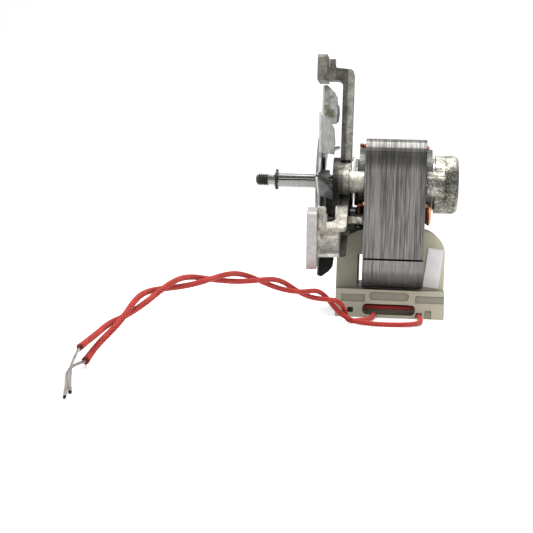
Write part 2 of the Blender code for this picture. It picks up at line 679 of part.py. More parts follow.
def build_front_bracket(finish):
    """Casting with a hub, a cross bar with two posts, and three arms with feet."""
    rear = ARM_REAR_X
    profile = [(HUB_FRONT_X, 0.0), (HUB_FRONT_X, HUB_RADIUS), (HUB_REAR_X, HUB_RADIUS), (HUB_REAR_X, 0.0)]
    hub = turned(profile, LARGE_STEPS)
    bracket = add_object("front_bracket", hub, finish)
    for angle, foot in zip(ARM_ANGLES, FEET):
        arm = turn_about_shaft(arm_shape(), angle - 90.0)
        apply_boolean(bracket, add_cutter(f"arm {angle:.0f}", arm), "UNION")
        apply_boolean(bracket, add_cutter(f"foot {angle:.0f}", foot_shape(*foot)), "UNION")
    apply_boolean(bracket, add_cutter("nub", nub_shape()), "UNION")
    half = BAR_HALF_HEIGHT
    outline = rounded_box((-POST_SPREAD, -half), (POST_SPREAD, half), (0.0,) * 4)
    bar = extrude(outline, ARM_FRONT_X + 2.0 * SEAM, rear - 2.0 * SEAM, along_x)
    apply_boolean(bracket, add_cutter("cross bar", bar), "UNION")
    posts = []
    for side in (-1.0, 1.0):
        back = STACK_FRONT_X - CLEARANCE
        front = ARM_FRONT_X + SEAM
        profile = [(front, 0.0), (front, half + POST_COLLAR), (rear - SEAM, half + POST_COLLAR)]
        profile += [(rear - SEAM, POST_RADIUS), (back, POST_RADIUS), (back, 0.0)]
        posts.append(turned(profile, 24, (side * POST_SPREAD, 0.0)))
        front = ARM_FRONT_X + ARM_THICKNESS / 4.0
        profile = [(front, 0.0), (front, PIN_RADIUS), (back, PIN_RADIUS), (back, 0.0)]
        posts.append(turned(profile, 16, (side * PIN_Y, -PIN_DROP)))
    apply_boolean(bracket, add_cutter("posts", merge(posts)), "UNION")
    behind_foot = MOUNT_X + FOOT_THICKNESS + NUB_GAP
    behind_nub = behind_foot + NUB_LENGTH + NUB_FLARE + CLEARANCE
    starts = (behind_nub, behind_foot, behind_foot)
    channels = [turn_about_shaft(channel_shape(x), angle - 90.0) for x, angle in zip(starts, ARM_ANGLES)]
    apply_boolean(bracket, add_cutter("channels", merge(channels)), "DIFFERENCE")
    pocket = FELT_RADIUS + CLEARANCE
    floor = HUB_REAR_X - BEARING_LENGTH - CLEARANCE
    hole = SHAFT_HOLE_RADIUS + AIR_GAP
    front = HUB_FRONT_X - CUT_MARGIN
    profile = [(front, 0.0), (front, hole), (floor, hole)]
    profile += [(floor, pocket), (HUB_REAR_X + CUT_MARGIN, pocket), (HUB_REAR_X + CUT_MARGIN, 0.0)]
    cuts = [turned(profile, TURNED_STEPS)]
    for side in (-1.0, 1.0):
        reach = (ARM_FRONT_X - CUT_MARGIN, STACK_FRONT_X + CUT_MARGIN)
        hole = SCREW_RADIUS + CLEARANCE
        head = SCREW_HEAD_RADIUS + CLEARANCE
        profile = [(reach[0], 0.0), (reach[0], head), (SCREW_SEAT_X, head), (SCREW_SEAT_X, hole)]
        profile += [(reach[1], hole), (reach[1], 0.0)]
        cuts.append(turned(profile, SMALL_STEPS, (side * POST_SPREAD, 0.0)))
    apply_boolean(bracket, add_cutter("bracket bores", merge(cuts)), "DIFFERENCE")


def build_rear_bracket(finish):
    """Casting with a bearing cup and an arm to a post on each side."""
    radius, edge = CUP_RADIUS, CUP_EDGE_RADIUS
    profile = [(CUP_FRONT_X, 0.0), (CUP_FRONT_X, radius)]
    profile += arc((CUP_REAR_X - edge, radius - edge), edge, 90.0, 0.0, 5)
    profile += [(CUP_REAR_X, 0.0)]
    bracket = add_object("rear_bracket", turned(profile, LARGE_STEPS), finish)
    half = REAR_BAR_HALF_HEIGHT
    outline = rounded_box((-POST_SPREAD, -half), (POST_SPREAD, half), (0.0,) * 4)
    bar = extrude(outline, CUP_FRONT_X + 2.0 * SEAM, REAR_ARM_X, along_x)
    apply_boolean(bracket, add_cutter("rear bar", bar), "UNION")
    front = STACK_REAR_X + CLEARANCE
    posts = []
    for side in (-1.0, 1.0):
        post = half + POST_COLLAR
        back = REAR_ARM_X - 2.0 * SEAM
        profile = [(front, 0.0), (front, post), (back, post), (back, 0.0)]
        posts.append(turned(profile, 24, (side * POST_SPREAD, 0.0)))
    apply_boolean(bracket, add_cutter("rear posts", merge(posts)), "UNION")
    pocket = FELT_RADIUS + CLEARANCE
    floor = CUP_REAR_X - CUP_WALL
    mouth = CUP_FRONT_X - CUT_MARGIN
    profile = [(mouth, 0.0), (mouth, pocket), (floor, pocket), (floor, 0.0)]
    cuts = [turned(profile, TURNED_STEPS)]
    for side in (-1.0, 1.0):
        reach = (front - CUT_MARGIN, REAR_ARM_X + CUT_MARGIN)
        hole = SCREW_RADIUS + CLEARANCE
        profile = [(reach[0], 0.0), (reach[0], hole), (reach[1], hole), (reach[1], 0.0)]
        cuts.append(turned(profile, SMALL_STEPS, (side * POST_SPREAD, 0.0)))
    apply_boolean(bracket, add_cutter("rear bores", merge(cuts)), "DIFFERENCE")


def ring_profile(low, high, inner, outer):
    """Square section of a plain ring."""
    return [(low, inner), (low, outer), (high, outer), (high, inner)]


def build_bearings(bush_finish, felt_finish, plate_finish):
    """Barrel-shaped bush, felt and spring plate in each bracket."""
    bore = SHAFT_HOLE_RADIUS
    places = (
        ("front", HUB_REAR_X - BEARING_LENGTH, RETAINER_FRONT_X),
        ("rear", CUP_FRONT_X + CLEARANCE, REAR_RETAINER_X),
    )
    for end, start, plate in places:
        stop = start + BEARING_LENGTH - CLEARANCE
        middle = (start + stop) / 2.0
        bulge = arc((middle, 0.0), 1.0, 130.0, 50.0, 6)
        crown = [(x - middle, r) for x, r in bulge]
        base = crown[0][1]
        span = (stop - start) / 2.0 / abs(crown[0][0])
        rise = (BEARING_RADIUS - BEARING_END_RADIUS) / (1.0 - base)
        profile = [(start, bore)]
        profile += [(middle + x * span, BEARING_END_RADIUS + (r - base) * rise) for x, r in crown]
        profile += [(stop, bore)]
        add_object(f"{end}_bearing", turned(profile, TURNED_STEPS), bush_finish)
        felt = ring_profile(
            middle - FELT_LENGTH / 2.0, middle + FELT_LENGTH / 2.0, BEARING_RADIUS + CLEARANCE, FELT_RADIUS
        )
        add_object(f"{end}_felt", turned(felt, TURNED_STEPS), felt_finish)
        plate_ring = ring_profile(plate, plate + RETAINER_SHEET, WASHER_RADIUS + CLEARANCE, RETAINER_RADIUS)
        add_object(f"{end}_retainer", turned(plate_ring, TURNED_STEPS), plate_finish)


def build_screws(finish):
    """Two long screws that clamp brackets and core, their heads sunk in the front bracket."""
    for name, side in (("bracket_screw_near", -1.0), ("bracket_screw_far", 1.0)):
        seat = SCREW_SEAT_X - CLEARANCE
        head = seat - SCREW_HEAD_HEIGHT
        tip = REAR_ARM_X - SCREW_CHAMFER
        profile = [(head, 0.0), (head, SCREW_HEAD_RADIUS - SCREW_CHAMFER)]
        profile += [(head + SCREW_CHAMFER, SCREW_HEAD_RADIUS)]
        profile += [(seat, SCREW_HEAD_RADIUS), (seat, SCREW_RADIUS), (tip - SCREW_CHAMFER, SCREW_RADIUS)]
        profile += [(tip, SCREW_RADIUS - SCREW_CHAMFER), (tip, 0.0)]
        add_object(name, turned(profile, SMALL_STEPS, (side * POST_SPREAD, 0.0)), finish)


def build_shaft(finish):
    """Shaft with a nose for a nut, a neck, a clip groove and a plain length to the rear bush."""
    thread_end = SHAFT_TIP_X + THREAD_LENGTH
    shoulder = thread_end + NECK_LENGTH
    groove = shoulder + CLIP_SETBACK
    groove_end = groove + CLIP_THICKNESS + 2.0 * CLEARANCE
    rear = CUP_REAR_X - CUP_WALL - CLEARANCE * 2.0
    chamfer = SHAFT_CHAMFER
    profile = [(SHAFT_TIP_X, 0.0), (SHAFT_TIP_X, THREAD_RADIUS - chamfer)]
    profile += [(SHAFT_TIP_X + chamfer, THREAD_RADIUS), (thread_end, THREAD_RADIUS)]
    profile += [(thread_end, NECK_RADIUS), (shoulder, NECK_RADIUS), (shoulder, SHAFT_RADIUS - chamfer / 2.0)]
    profile += [(shoulder + chamfer / 2.0, SHAFT_RADIUS), (groove, SHAFT_RADIUS)]
    profile += [(groove, CLIP_GROOVE_RADIUS), (groove_end, CLIP_GROOVE_RADIUS), (groove_end, SHAFT_RADIUS)]
    profile += [(rear - chamfer, SHAFT_RADIUS), (rear, SHAFT_RADIUS - chamfer), (rear, 0.0)]
    add_object("shaft", turned(profile, TURNED_STEPS), finish)


def build_clip(finish):
    """Open clip with three lobes that grip the groove."""
    start = SHAFT_TIP_X + THREAD_LENGTH + NECK_LENGTH + CLIP_SETBACK + CLEARANCE
    outline = arc((0.0, 0.0), CLIP_RADIUS, -58.0, 238.0, 24)
    grip = CLIP_GROOVE_RADIUS + CLEARANCE
    for degrees in np.linspace(238.0, -58.0, 25):
        lobe = math.sin(math.radians(CLIP_LOBES / 2.0 * (degrees - 90.0))) ** 2
        radius = grip + CLIP_LOBE_DEPTH * lobe
        outline += arc((0.0, 0.0), radius, degrees, degrees, 0)
    add_object("e_clip", extrude(outline, start, start + CLIP_THICKNESS, along_x), finish)


def build_rotor(core_finish, cage_finish):
    """Slotted rotor core and the cast cage whose bars run through its slots."""
    radius = BORE_RADIUS - AIR_GAP
    pitch = 360.0 / ROTOR_BARS
    slot_half = math.degrees((ROTOR_BAR_WIDTH / 2.0 + CLEARANCE) / radius)
    floor = radius - ROTOR_BAR_DEPTH - CLEARANCE
    floor_half = math.degrees((ROTOR_BAR_WIDTH / 2.0 + CLEARANCE) / floor)
    outline = []
    for number in range(ROTOR_BARS):
        middle = number * pitch
        outline += arc((0.0, 0.0), floor, middle - floor_half, middle + floor_half, 1)
        outline += arc((0.0, 0.0), radius, middle + slot_half, middle + pitch - slot_half, 3)
    core = add_object("rotor_core", extrude(outline, STACK_FRONT_X, STACK_REAR_X, along_x), core_finish)
    reach = (STACK_FRONT_X - CUT_MARGIN, STACK_REAR_X + CUT_MARGIN)
    hole = [(reach[0], 0.0), (reach[0], SHAFT_HOLE_RADIUS), (reach[1], SHAFT_HOLE_RADIUS), (reach[1], 0.0)]
    apply_boolean(core, add_cutter("rotor bore", turned(hole, TURNED_STEPS)), "DIFFERENCE")
    outer = radius - SEAM
    front = (STACK_FRONT_X - ROTOR_RING_HEIGHT, STACK_FRONT_X - CLEARANCE)
    rear = (STACK_REAR_X + CLEARANCE, STACK_REAR_X + ROTOR_RING_HEIGHT)
    ring = turned(ring_profile(*front, outer - ROTOR_RING_WALL, outer), 48)
    cage = add_object("rotor_cage", ring, cage_finish)
    other = turned(ring_profile(*rear, outer - ROTOR_RING_WALL, outer), 48)
    apply_boolean(cage, add_cutter("rear end ring", other), "UNION")
    half = ROTOR_BAR_WIDTH / 2.0
    bars = []
    for number in range(ROTOR_BARS):
        section = [(-half, radius - ROTOR_BAR_DEPTH), (half, radius - ROTOR_BAR_DEPTH)]
        section += [(half, radius - AIR_GAP), (-half, radius - AIR_GAP)]
        bar = extrude(section, front[1] - CUT_MARGIN, rear[0] + CUT_MARGIN, along_x)
        bars.append(turn_about_shaft(bar, number * pitch - 90.0))
    apply_boolean(cage, add_cutter("cage bars", merge(bars)), "UNION")


def blade_shape():
    """One blade of the fan, pointing up: a sheet bent back along its front edge, leaning back to its tip."""
    sheet = FAN_SHEET - FAN_SEAM * 2.0
    bend = FAN_BEND_RADIUS
    small = bend - sheet
    turns = np.radians((0.0, 45.0, 90.0))
    outside = [(-bend - FAN_FLANGE, 0.0)]
    outside += [(bend * (math.sin(a) - 1.0), bend * (1.0 - math.cos(a))) for a in turns]
    inside = [(-bend - FAN_FLANGE, sheet)]
    inside += [(small * math.sin(a) - bend, bend - small * math.cos(a)) for a in turns]
    shape = bmesh.new()
    rows = []
    for radius, depth in FAN_BLADE_DEPTHS:
        beyond = max(0.0, radius - FAN_DISC_RADIUS) / (FAN_BLADE_OUTER - FAN_DISC_RADIUS)
        front = FAN_FRONT_X + FAN_SEAM + FAN_BLADE_LEAN * beyond
        edge = depth - FAN_BLADE_LEAN * beyond
        section = outside + [(0.0, edge), (-sheet, edge)] + inside[::-1]
        rows.append([shape.verts.new(arm_plane(front + x, radius, -across)) for across, x in section])
    count = len(rows[0])
    for low, high in zip(rows, rows[1:]):
        for index in range(count):
            after = (index + 1) % count
            shape.faces.new((low[index], low[after], high[after], high[index]))
    shape.faces.new(rows[0][::-1])
    shape.faces.new(rows[-1])
    return shape


def build_fan(finish, bush_finish):
    """Sheet-metal fan with eight blades, and the collar that grips it on the shaft."""
    hole = SHAFT_HOLE_RADIUS + CLEARANCE + FAN_BUSH_NECK
    rear = FAN_FRONT_X + FAN_SHEET
    disc = turned(ring_profile(FAN_FRONT_X, rear, hole, FAN_DISC_RADIUS), LARGE_STEPS)
    fan = add_object("cooling_fan", disc, finish)
    blades = [
        turn_about_shaft(blade_shape(), FAN_FIRST_BLADE - 90.0 + number * 360.0 / FAN_BLADES)
        for number in range(FAN_BLADES)
    ]
    apply_boolean(fan, add_cutter("blades", merge(blades)), "UNION")
    inner = SHAFT_HOLE_RADIUS
    neck = hole - CLEARANCE
    lip_rear = FAN_FRONT_X - CLEARANCE
    lip_front = lip_rear - FAN_BUSH_LIP
    lip = FAN_BUSH_RADIUS - CLEARANCE
    flange = FAN_BUSH_RADIUS
    profile = [(lip_front, inner), (lip_front, lip), (lip_rear, lip)]
    profile += [(lip_rear, neck), (rear + CLEARANCE, neck), (rear + CLEARANCE, flange)]
    profile += [(rear + CLEARANCE + FAN_BUSH_LENGTH, flange), (rear + CLEARANCE + FAN_BUSH_LENGTH, inner)]
    add_object("fan_bush", turned(profile, TURNED_STEPS), bush_finish)


def build_washers(finish):
    """Thrust washers on the shaft between the rotor and the spring plates."""
    front = RETAINER_FRONT_X + RETAINER_SHEET + CLEARANCE
    rear = REAR_RETAINER_X - CLEARANCE - WASHER_THICKNESS
    for name, start in (("front_thrust_washer", front), ("rear_thrust_washer", rear)):
        ring = ring_profile(start, start + WASHER_THICKNESS, SHAFT_HOLE_RADIUS, WASHER_RADIUS)
        add_object(name, turned(ring, TURNED_STEPS), finish)


def smooth_curve(points, per_segment=12):
    """Centripetal curve through every point, as a dense array."""
    knots = np.array(points, dtype=float)
    padded = np.vstack((2.0 * knots[0] - knots[1], knots, 2.0 * knots[-1] - knots[-2]))
    dense = []
    for p0, p1, p2, p3 in zip(padded, padded[1:], padded[2:], padded[3:]):
        t1 = math.sqrt(np.linalg.norm(p1 - p0))
        t2 = t1 + math.sqrt(np.linalg.norm(p2 - p1))
        t3 = t2 + math.sqrt(np.linalg.norm(p3 - p2))
        for t in np.linspace(t1, t2, per_segment, endpoint=False):
            a1 = p0 * (t1 - t) / t1 + p1 * t / t1
            a2 = p1 * (t2 - t) / (t2 - t1) + p2 * (t - t1) / (t2 - t1)
            a3 = p2 * (t3 - t) / (t3 - t2) + p3 * (t - t2) / (t3 - t2)
            b1 = a1 * (t2 - t) / t2 + a2 * t / t2
            b2 = a2 * (t3 - t) / (t3 - t1) + a3 * (t - t1) / (t3 - t1)
            dense.append(b1 * (t2 - t) / (t2 - t1) + b2 * (t - t1) / (t2 - t1))
    dense.append(knots[-1])
    return np.array(dense)


def even_points(dense, spacing):
    """Points at even distances along a dense curve, both ends kept."""
    steps = np.linalg.norm(np.diff(dense, axis=0), axis=1)
    travelled = np.concatenate(([0.0], np.cumsum(steps)))
    count = max(3, int(round(travelled[-1] / spacing)) + 1)
    wanted = np.linspace(0.0, travelled[-1], count)
    return np.column_stack([np.interp(wanted, travelled, dense[:, axis]) for axis in range(3)])


def twisted_points(side, per_turn=8):
    """One strand of the twisted pair: half a turn round the middle line between route points."""
    per_segment = per_turn // 2
    middle = smooth_curve(PAIR_ROUTE, per_segment)
    tangents = np.gradient(middle, axis=0)
    tangents /= np.linalg.norm(tangents, axis=1)[:, None]
    level = np.cross(tangents, (0.0, 0.0, 1.0))
    level /= np.linalg.norm(level, axis=1)[:, None]
    upright = np.cross(level, tangents)
    phase = np.pi * np.arange(len(middle)) / per_segment
    ring = np.cos(phase)[:, None] * level + np.sin(phase)[:, None] * upright
    return middle + side * TWIST_RADIUS * ring


def lead_tube(name, points, diameter, finish):
    """Round cord through the points, as a curve with filled ends."""
    curve = bpy.data.curves.new(name, "CURVE")
    curve.dimensions = "3D"
    curve.bevel_depth = diameter / 2.0
    curve.bevel_resolution = 2
    curve.use_fill_caps = True
    spline = curve.splines.new("POLY")
    spline.points.add(len(points) - 1)
    for target, point in zip(spline.points, points):
        target.co = (*point, 1.0)
    curve.materials.append(finish)
    made = bpy.data.objects.new(name, curve)
    bpy.context.scene.collection.objects.link(made)
    return made


def build_leads(sleeve, copper):
    """The two sleeved leads, twisted together, their bare ends and the run inside the box."""
    parts = (
        ("a", -1.0, LEAD_A_START, LEAD_A_END, CONDUCTOR_A_ROUTE),
        ("b", 1.0, LEAD_B_START, LEAD_B_END, CONDUCTOR_B_ROUTE),
    )
    for letter, side, start, end, bare in parts:
        route = list(start) + [tuple(point) for point in twisted_points(side)] + list(end)
        points = even_points(smooth_curve(route), LEAD_POINT_SPACING)
        lead_tube(f"lead_{letter}", points, LEAD_DIAMETER, sleeve)
        points = even_points(smooth_curve(bare), CONDUCTOR_POINT_SPACING)
        lead_tube(f"conductor_{letter}", points, CONDUCTOR_DIAMETER, copper)
    middle = (BOX_FACE_Y + BOX_WALL + BOX_BACK_Y) / 2.0
    run = [(x, middle, INNER_RUN_HEIGHT) for x in (INNER_RUN_START_X, INNER_RUN_END_X)]
    lead_tube("lead_inside_box", run, LEAD_DIAMETER, sleeve)


def main():
    """Build every piece in an empty scene."""
    for item in list(bpy.data.objects):
        bpy.data.objects.remove(item, do_unlink=True)
    laminations = material("electrical steel", (0.36, 0.35, 0.34), 0.45, 0.8)
    casting = material("cast alloy", (0.42, 0.40, 0.36), 0.55, 0.8)
    steel = material("bright steel", (0.62, 0.62, 0.61), 0.25, 1.0)
    aluminium = material("aluminium", (0.70, 0.70, 0.69), 0.35, 0.9)
    copper = material("copper", (0.80, 0.40, 0.24), 0.30, 0.9)
    moulding = material("cream nylon", (0.62, 0.59, 0.50), 0.50)
    build_stator_core(laminations)
    build_coil_core(laminations)
    build_shading_rings(copper)
    build_bobbin(moulding)
    build_terminal_box(moulding)
    build_coil(copper, material("black tape", (0.02, 0.02, 0.02), 0.60))
    build_terminal_details(
        steel, material("fuse body", (0.75, 0.73, 0.68), 0.4), material("label", (0.85, 0.85, 0.83), 0.5)
    )
    build_front_bracket(casting)
    build_rear_bracket(casting)
    bronze = material("sintered bronze", (0.60, 0.45, 0.28), 0.6, 0.7)
    build_bearings(bronze, material("felt", (0.55, 0.50, 0.42), 0.9), steel)
    build_screws(steel)
    build_shaft(steel)
    build_clip(material("blued steel", (0.10, 0.10, 0.10), 0.45, 0.8))
    build_rotor(laminations, aluminium)
    build_fan(aluminium, steel)
    build_washers(material("nylon", (0.85, 0.84, 0.80), 0.5))
    tinned_wire = material("tinned wire", (0.55, 0.55, 0.54), 0.35, 0.9)
    build_leads(material("red sleeve", (0.55, 0.05, 0.04), 0.75), tinned_wire)


main()
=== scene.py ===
"""Shaded-pole fan motor of an oven: finishes, leads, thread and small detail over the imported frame."""

from __future__ import annotations

import json
import logging
import math
from dataclasses import dataclass, field
from enum import Enum
from typing import Protocol

import bpy
import numpy as np
from mathutils import Matrix, Vector


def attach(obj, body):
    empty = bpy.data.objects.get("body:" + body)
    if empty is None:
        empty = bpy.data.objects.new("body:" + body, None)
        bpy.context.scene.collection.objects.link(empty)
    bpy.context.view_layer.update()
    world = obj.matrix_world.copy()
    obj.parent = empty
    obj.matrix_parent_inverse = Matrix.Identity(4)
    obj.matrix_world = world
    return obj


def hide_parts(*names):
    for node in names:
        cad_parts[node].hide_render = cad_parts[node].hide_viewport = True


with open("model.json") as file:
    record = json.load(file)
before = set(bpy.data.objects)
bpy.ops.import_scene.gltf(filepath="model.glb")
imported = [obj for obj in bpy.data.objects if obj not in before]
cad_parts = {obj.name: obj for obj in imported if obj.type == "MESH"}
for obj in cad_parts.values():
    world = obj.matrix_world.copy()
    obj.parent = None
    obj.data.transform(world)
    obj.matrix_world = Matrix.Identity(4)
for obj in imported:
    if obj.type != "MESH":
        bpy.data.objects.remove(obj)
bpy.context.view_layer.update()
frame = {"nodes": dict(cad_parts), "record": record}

logging.basicConfig(level=logging.INFO, format="%(message)s")
log = logging.getLogger("fan motor")

STATOR = "stator"
ROTOR = "rotor"
SHAFT_HEIGHT = 0.0562
TURN = 2.0 * math.pi
SHARP_ANGLE = math.radians(40.0)

Colour = tuple[float, float, float]
Array = np.ndarray
Triple = tuple[float, float, float]
Pairs = tuple[tuple[float, float], ...]
Socket = bpy.types.NodeSocket
Material = bpy.types.Material

WEAVE_HEIGHT = "weave_height"
ROUND_SHARE = "round_share"


class Grain(Enum):
    """Way that a metal's fine marks run."""

    CAST = "cast"
    ROLLED = "rolled"
    TURNED = "turned"


class ShaderGraph:
    """A material under construction, with short calls for its nodes."""

    def __init__(self, name: str) -> None:
        """Start an empty material of that name.

        Args:
            name: the material's name.
        """
        self.material = bpy.data.materials.new(name)
        self.material.use_nodes = True
        self.tree = self.material.node_tree
        self.shader = self.tree.nodes["Principled BSDF"]

    def add(self, kind: str, **sockets: object) -> bpy.types.Node:
        """Add a node and fill its sockets.

        Args:
            kind: the node's type without the ShaderNode prefix.
            sockets: values or output sockets by socket name, with underscores for spaces.

        Returns:
            The new node.
        """
        node = self.tree.nodes.new(f"ShaderNode{kind}")
        for name, value in sockets.items():
            self.feed(node.inputs[name.replace("_", " ")], value)
        return node

    def feed(self, socket: Socket, value: object) -> None:
        """Link an output socket to an input, or write a plain value on it.

        Args:
            socket: the input to fill.
            value: an output socket, a number or a colour.
        """
        if isinstance(value, Socket):
            self.tree.links.new(value, socket)
        elif isinstance(value, tuple) and len(value) == 3 and socket.type == "RGBA":
            socket.default_value = (*value, 1.0)
        else:
            socket.default_value = value

    def set(self, **sockets: object) -> None:
        """Fill sockets of the material's own shader."""
        for name, value in sockets.items():
            self.feed(self.shader.inputs[name.replace("_", " ")], value)

    def place(self, scale: Triple = (1.0, 1.0, 1.0)) -> Socket:
        """Object coordinates, scaled on each axis."""
        coordinates = self.add("TexCoord").outputs["Object"]
        return self.add("Mapping", Vector=coordinates, Scale=scale).outputs["Vector"]

    def noise(self, vector: Socket, scale: float, detail: float = 3.0) -> Socket:
        """Smooth noise from 0 to 1 over a vector."""
        return self.add("TexNoise", Vector=vector, Scale=scale, Detail=detail).outputs["Fac"]

    def stretched(self, scale: Triple, detail: float) -> Socket:
        """Noise over object coordinates that are scaled on each axis."""
        return self.noise(self.place(scale), 1.0, detail)

    def parts(self) -> bpy.types.NodeOutputs:
        """X, Y and Z of the object's coordinates."""
        return self.add("SeparateXYZ", Vector=self.place()).outputs

    def stored(self, attribute: str) -> Socket:
        """Value that the mesh stores at each point.

        Args:
            attribute: the attribute's name on the mesh.

        Returns:
            The value as a socket.
        """
        node = self.add("Attribute")
        node.attribute_name = attribute
        return node.outputs["Fac"]

    def ramp(self, value: Socket, stops: list[tuple[float, Colour]]) -> Socket:
        """Colours along a value.

        Args:
            value: the value to colour, from 0 to 1.
            stops: places from 0 to 1, rising, each with its colour.

        Returns:
            The colour as a socket.
        """
        node = self.add("ValToRGB", Fac=value)
        elements = node.color_ramp.elements
        while len(elements) < len(stops):
            elements.new(0.5)
        for element, (position, colour) in zip(elements, stops):
            element.position = position
            element.color = (*colour, 1.0)
        return node.outputs["Color"]

    def greys(self, value: Socket, stops: Pairs) -> Socket:
        """Grey tones along a value."""
        return self.ramp(value, [(at, (tone,) * 3) for at, tone in stops])

    def remap(self, value: Socket, low: float, high: float, to_low: float, to_high: float) -> Socket:
        """Stretch a value's range to another, held at both ends.

        Args:
            value: the value to stretch.
            low: the value that becomes to_low.
            high: the value that becomes to_high.
            to_low: the new value at low.
            to_high: the new value at high.

        Returns:
            The stretched value.
        """
        sockets = {"From Min": low, "From Max": high, "To Min": to_low, "To Max": to_high}
        node = self.add("MapRange", Value=value, **sockets)
        return node.outputs["Result"]

    def math(self, operation: str, first: object, second: object = 0.0) -> Socket:
        """Arithmetic on one or two values.

        Args:
            operation: Blender's name of the operation.
            first: a number or a value socket.
            second: a second one, where the operation takes two.

        Returns:
            The result as a socket.
        """
        node = self.tree.nodes.new("ShaderNodeMath")
        node.operation = operation
        self.feed(node.inputs[0], first)
        self.feed(node.inputs[1], second)
        return node.outputs[0]

    def mix(self, share: object, first: object, second: object, blend: str = "MIX") -> Socket:
        """Blend two colours.

        Args:
            share: share of the second colour, from 0 to 1.
            first: a colour or a colour socket.
            second: the colour or socket laid over it.
            blend: Blender's name of the way to blend.

        Returns:
            The blended colour as a socket.
        """
        node = self.tree.nodes.new("ShaderNodeMix")
        node.data_type = "RGBA"
        node.blend_type = blend
        self.feed(node.inputs["Factor"], share)
        self.feed(node.inputs[6], first)
        self.feed(node.inputs[7], second)
        return node.outputs[2]

    def times(self, first: object, second: object) -> Socket:
        """Multiply two colours."""
        return self.mix(1.0, first, second, "MULTIPLY")

    def weighted(self, *terms: tuple[Socket, float]) -> Socket:
        """Sum of values, each times its weight.

        Args:
            terms: values, each with its weight.

        Returns:
            The sum as a socket.
        """
        products = [self.math("MULTIPLY", value, weight) for value, weight in terms]
        total = products[0]
        for product in products[1:]:
            total = self.math("ADD", total, product)
        return total

    def tone_along(self, axis: str, stops: Pairs) -> Socket:
        """Grey multiplier that changes along one axis of the object.

        Args:
            axis: X, Y or Z.
            stops: places in metres, rising, each with its tone from 0 to 1.

        Returns:
            A colour socket to multiply with.
        """
        first, last = stops[0][0], stops[-1][0]
        share = self.remap(self.parts()[axis], first, last, 0.0, 1.0)
        span = last - first
        return self.greys(share, tuple(((at - first) / span, tone) for at, tone in stops))

    def angle_share(self) -> Socket:
        """Share of a full turn about the shaft, from 0 at the far side over the top and back.

        Returns:
            The share as a socket.
        """
        parts = self.parts()
        rise = self.math("SUBTRACT", parts["Z"], SHAFT_HEIGHT)
        turn = self.math("DIVIDE", self.math("ARCTAN2", rise, parts["Y"]), TURN)
        return self.math("FRACT", turn)

    def shaft_distance(self) -> Socket:
        """Distance from the shaft's axis, as the root of the squares of Y and of the height above it.

        Returns:
            The distance as a socket, in metres.
        """
        parts = self.parts()
        height = self.math("SUBTRACT", parts["Z"], SHAFT_HEIGHT)
        squares = [self.math("POWER", side, 2.0) for side in (parts["Y"], height)]
        return self.math("SQRT", self.math("ADD", *squares))

    def soft_edges(self, radius: float) -> Socket:
        """Normal that rounds every sharp edge to a radius.

        Args:
            radius: the rounding's radius in metres.

        Returns:
            The rounded normal as a socket.
        """
        node = self.add("Bevel", Radius=radius)
        node.samples = 6
        return node.outputs["Normal"]

    def bump(self, height: Socket, strength: float, distance: float, normal: object = None) -> Socket:
        """Bend the normal by a height.

        Args:
            height: the height to bend it by.
            strength: share of the bending, from 0 to 1.
            distance: size of a full height, in metres.
            normal: an earlier normal to bend further, if any.

        Returns:
            The bent normal as a socket.
        """
        node = self.add("Bump", Height=height, Strength=strength, Distance=distance)
        if normal is not None:
            self.feed(node.inputs["Normal"], normal)
        return node.outputs["Normal"]


class Finish(Protocol):
    """Anything that describes a material and can make it."""

    def make(self) -> Material:
        """Build the material's nodes."""


@dataclass(frozen=True)
class LaminationFinish:
    """Edges of stacked steel sheets: fine lines square to the shaft, uneven in tone."""

    name: str
    dark: Colour = (0.110, 0.104, 0.098)
    light: Colour = (0.330, 0.315, 0.298)
    scratch: Colour = (0.50, 0.49, 0.47)
    gap: Colour = (0.07, 0.065, 0.06)
    sheet: float = 0.0008
    # Grey tone by height: painted light and shade where an instance sets it
    heights: Pairs = ((0.0, 1.0), (1.0, 1.0))

    def make(self) -> Material:
        """Lines are noise stretched along the sheets, at one and at several sheets' width.

        Returns:
            The finished material.
        """
        graph = ShaderGraph(self.name)
        fine = graph.stretched((1.0 / self.sheet, 22.0, 22.0), 2.0)
        broad = graph.stretched((0.30 / self.sheet, 6.0, 6.0), 2.0)
        streak = graph.stretched((1.1 / self.sheet, 110.0, 110.0), 2.0)
        value = graph.weighted((fine, 0.5), (broad, 0.2), (streak, 0.3))
        middle = tuple((d + l) / 2.0 for d, l in zip(self.dark, self.light))
        colour = graph.ramp(value, [(0.40, self.dark), (0.5, middle), (0.60, self.light)])
        scratch = graph.stretched((1.5 / self.sheet, 60.0, 60.0), 1.0)
        colour = graph.mix(graph.remap(scratch, 0.58, 0.68, 0.0, 0.45), colour, self.scratch)
        colour = graph.mix(graph.remap(scratch, 0.42, 0.32, 0.0, 0.60), colour, self.gap)
        # Tone by height: painted light and shade
        colour = graph.times(colour, graph.tone_along("Z", self.heights))
        normal = graph.bump(fine, 0.55, 0.00012, graph.bump(streak, 0.25, 0.00005))
        graph.set(
            Base_Color=colour,
            Metallic=0.7,
            Roughness=graph.remap(broad, 0.3, 0.7, 0.34, 0.48),
            Normal=normal,
        )
        return graph.material


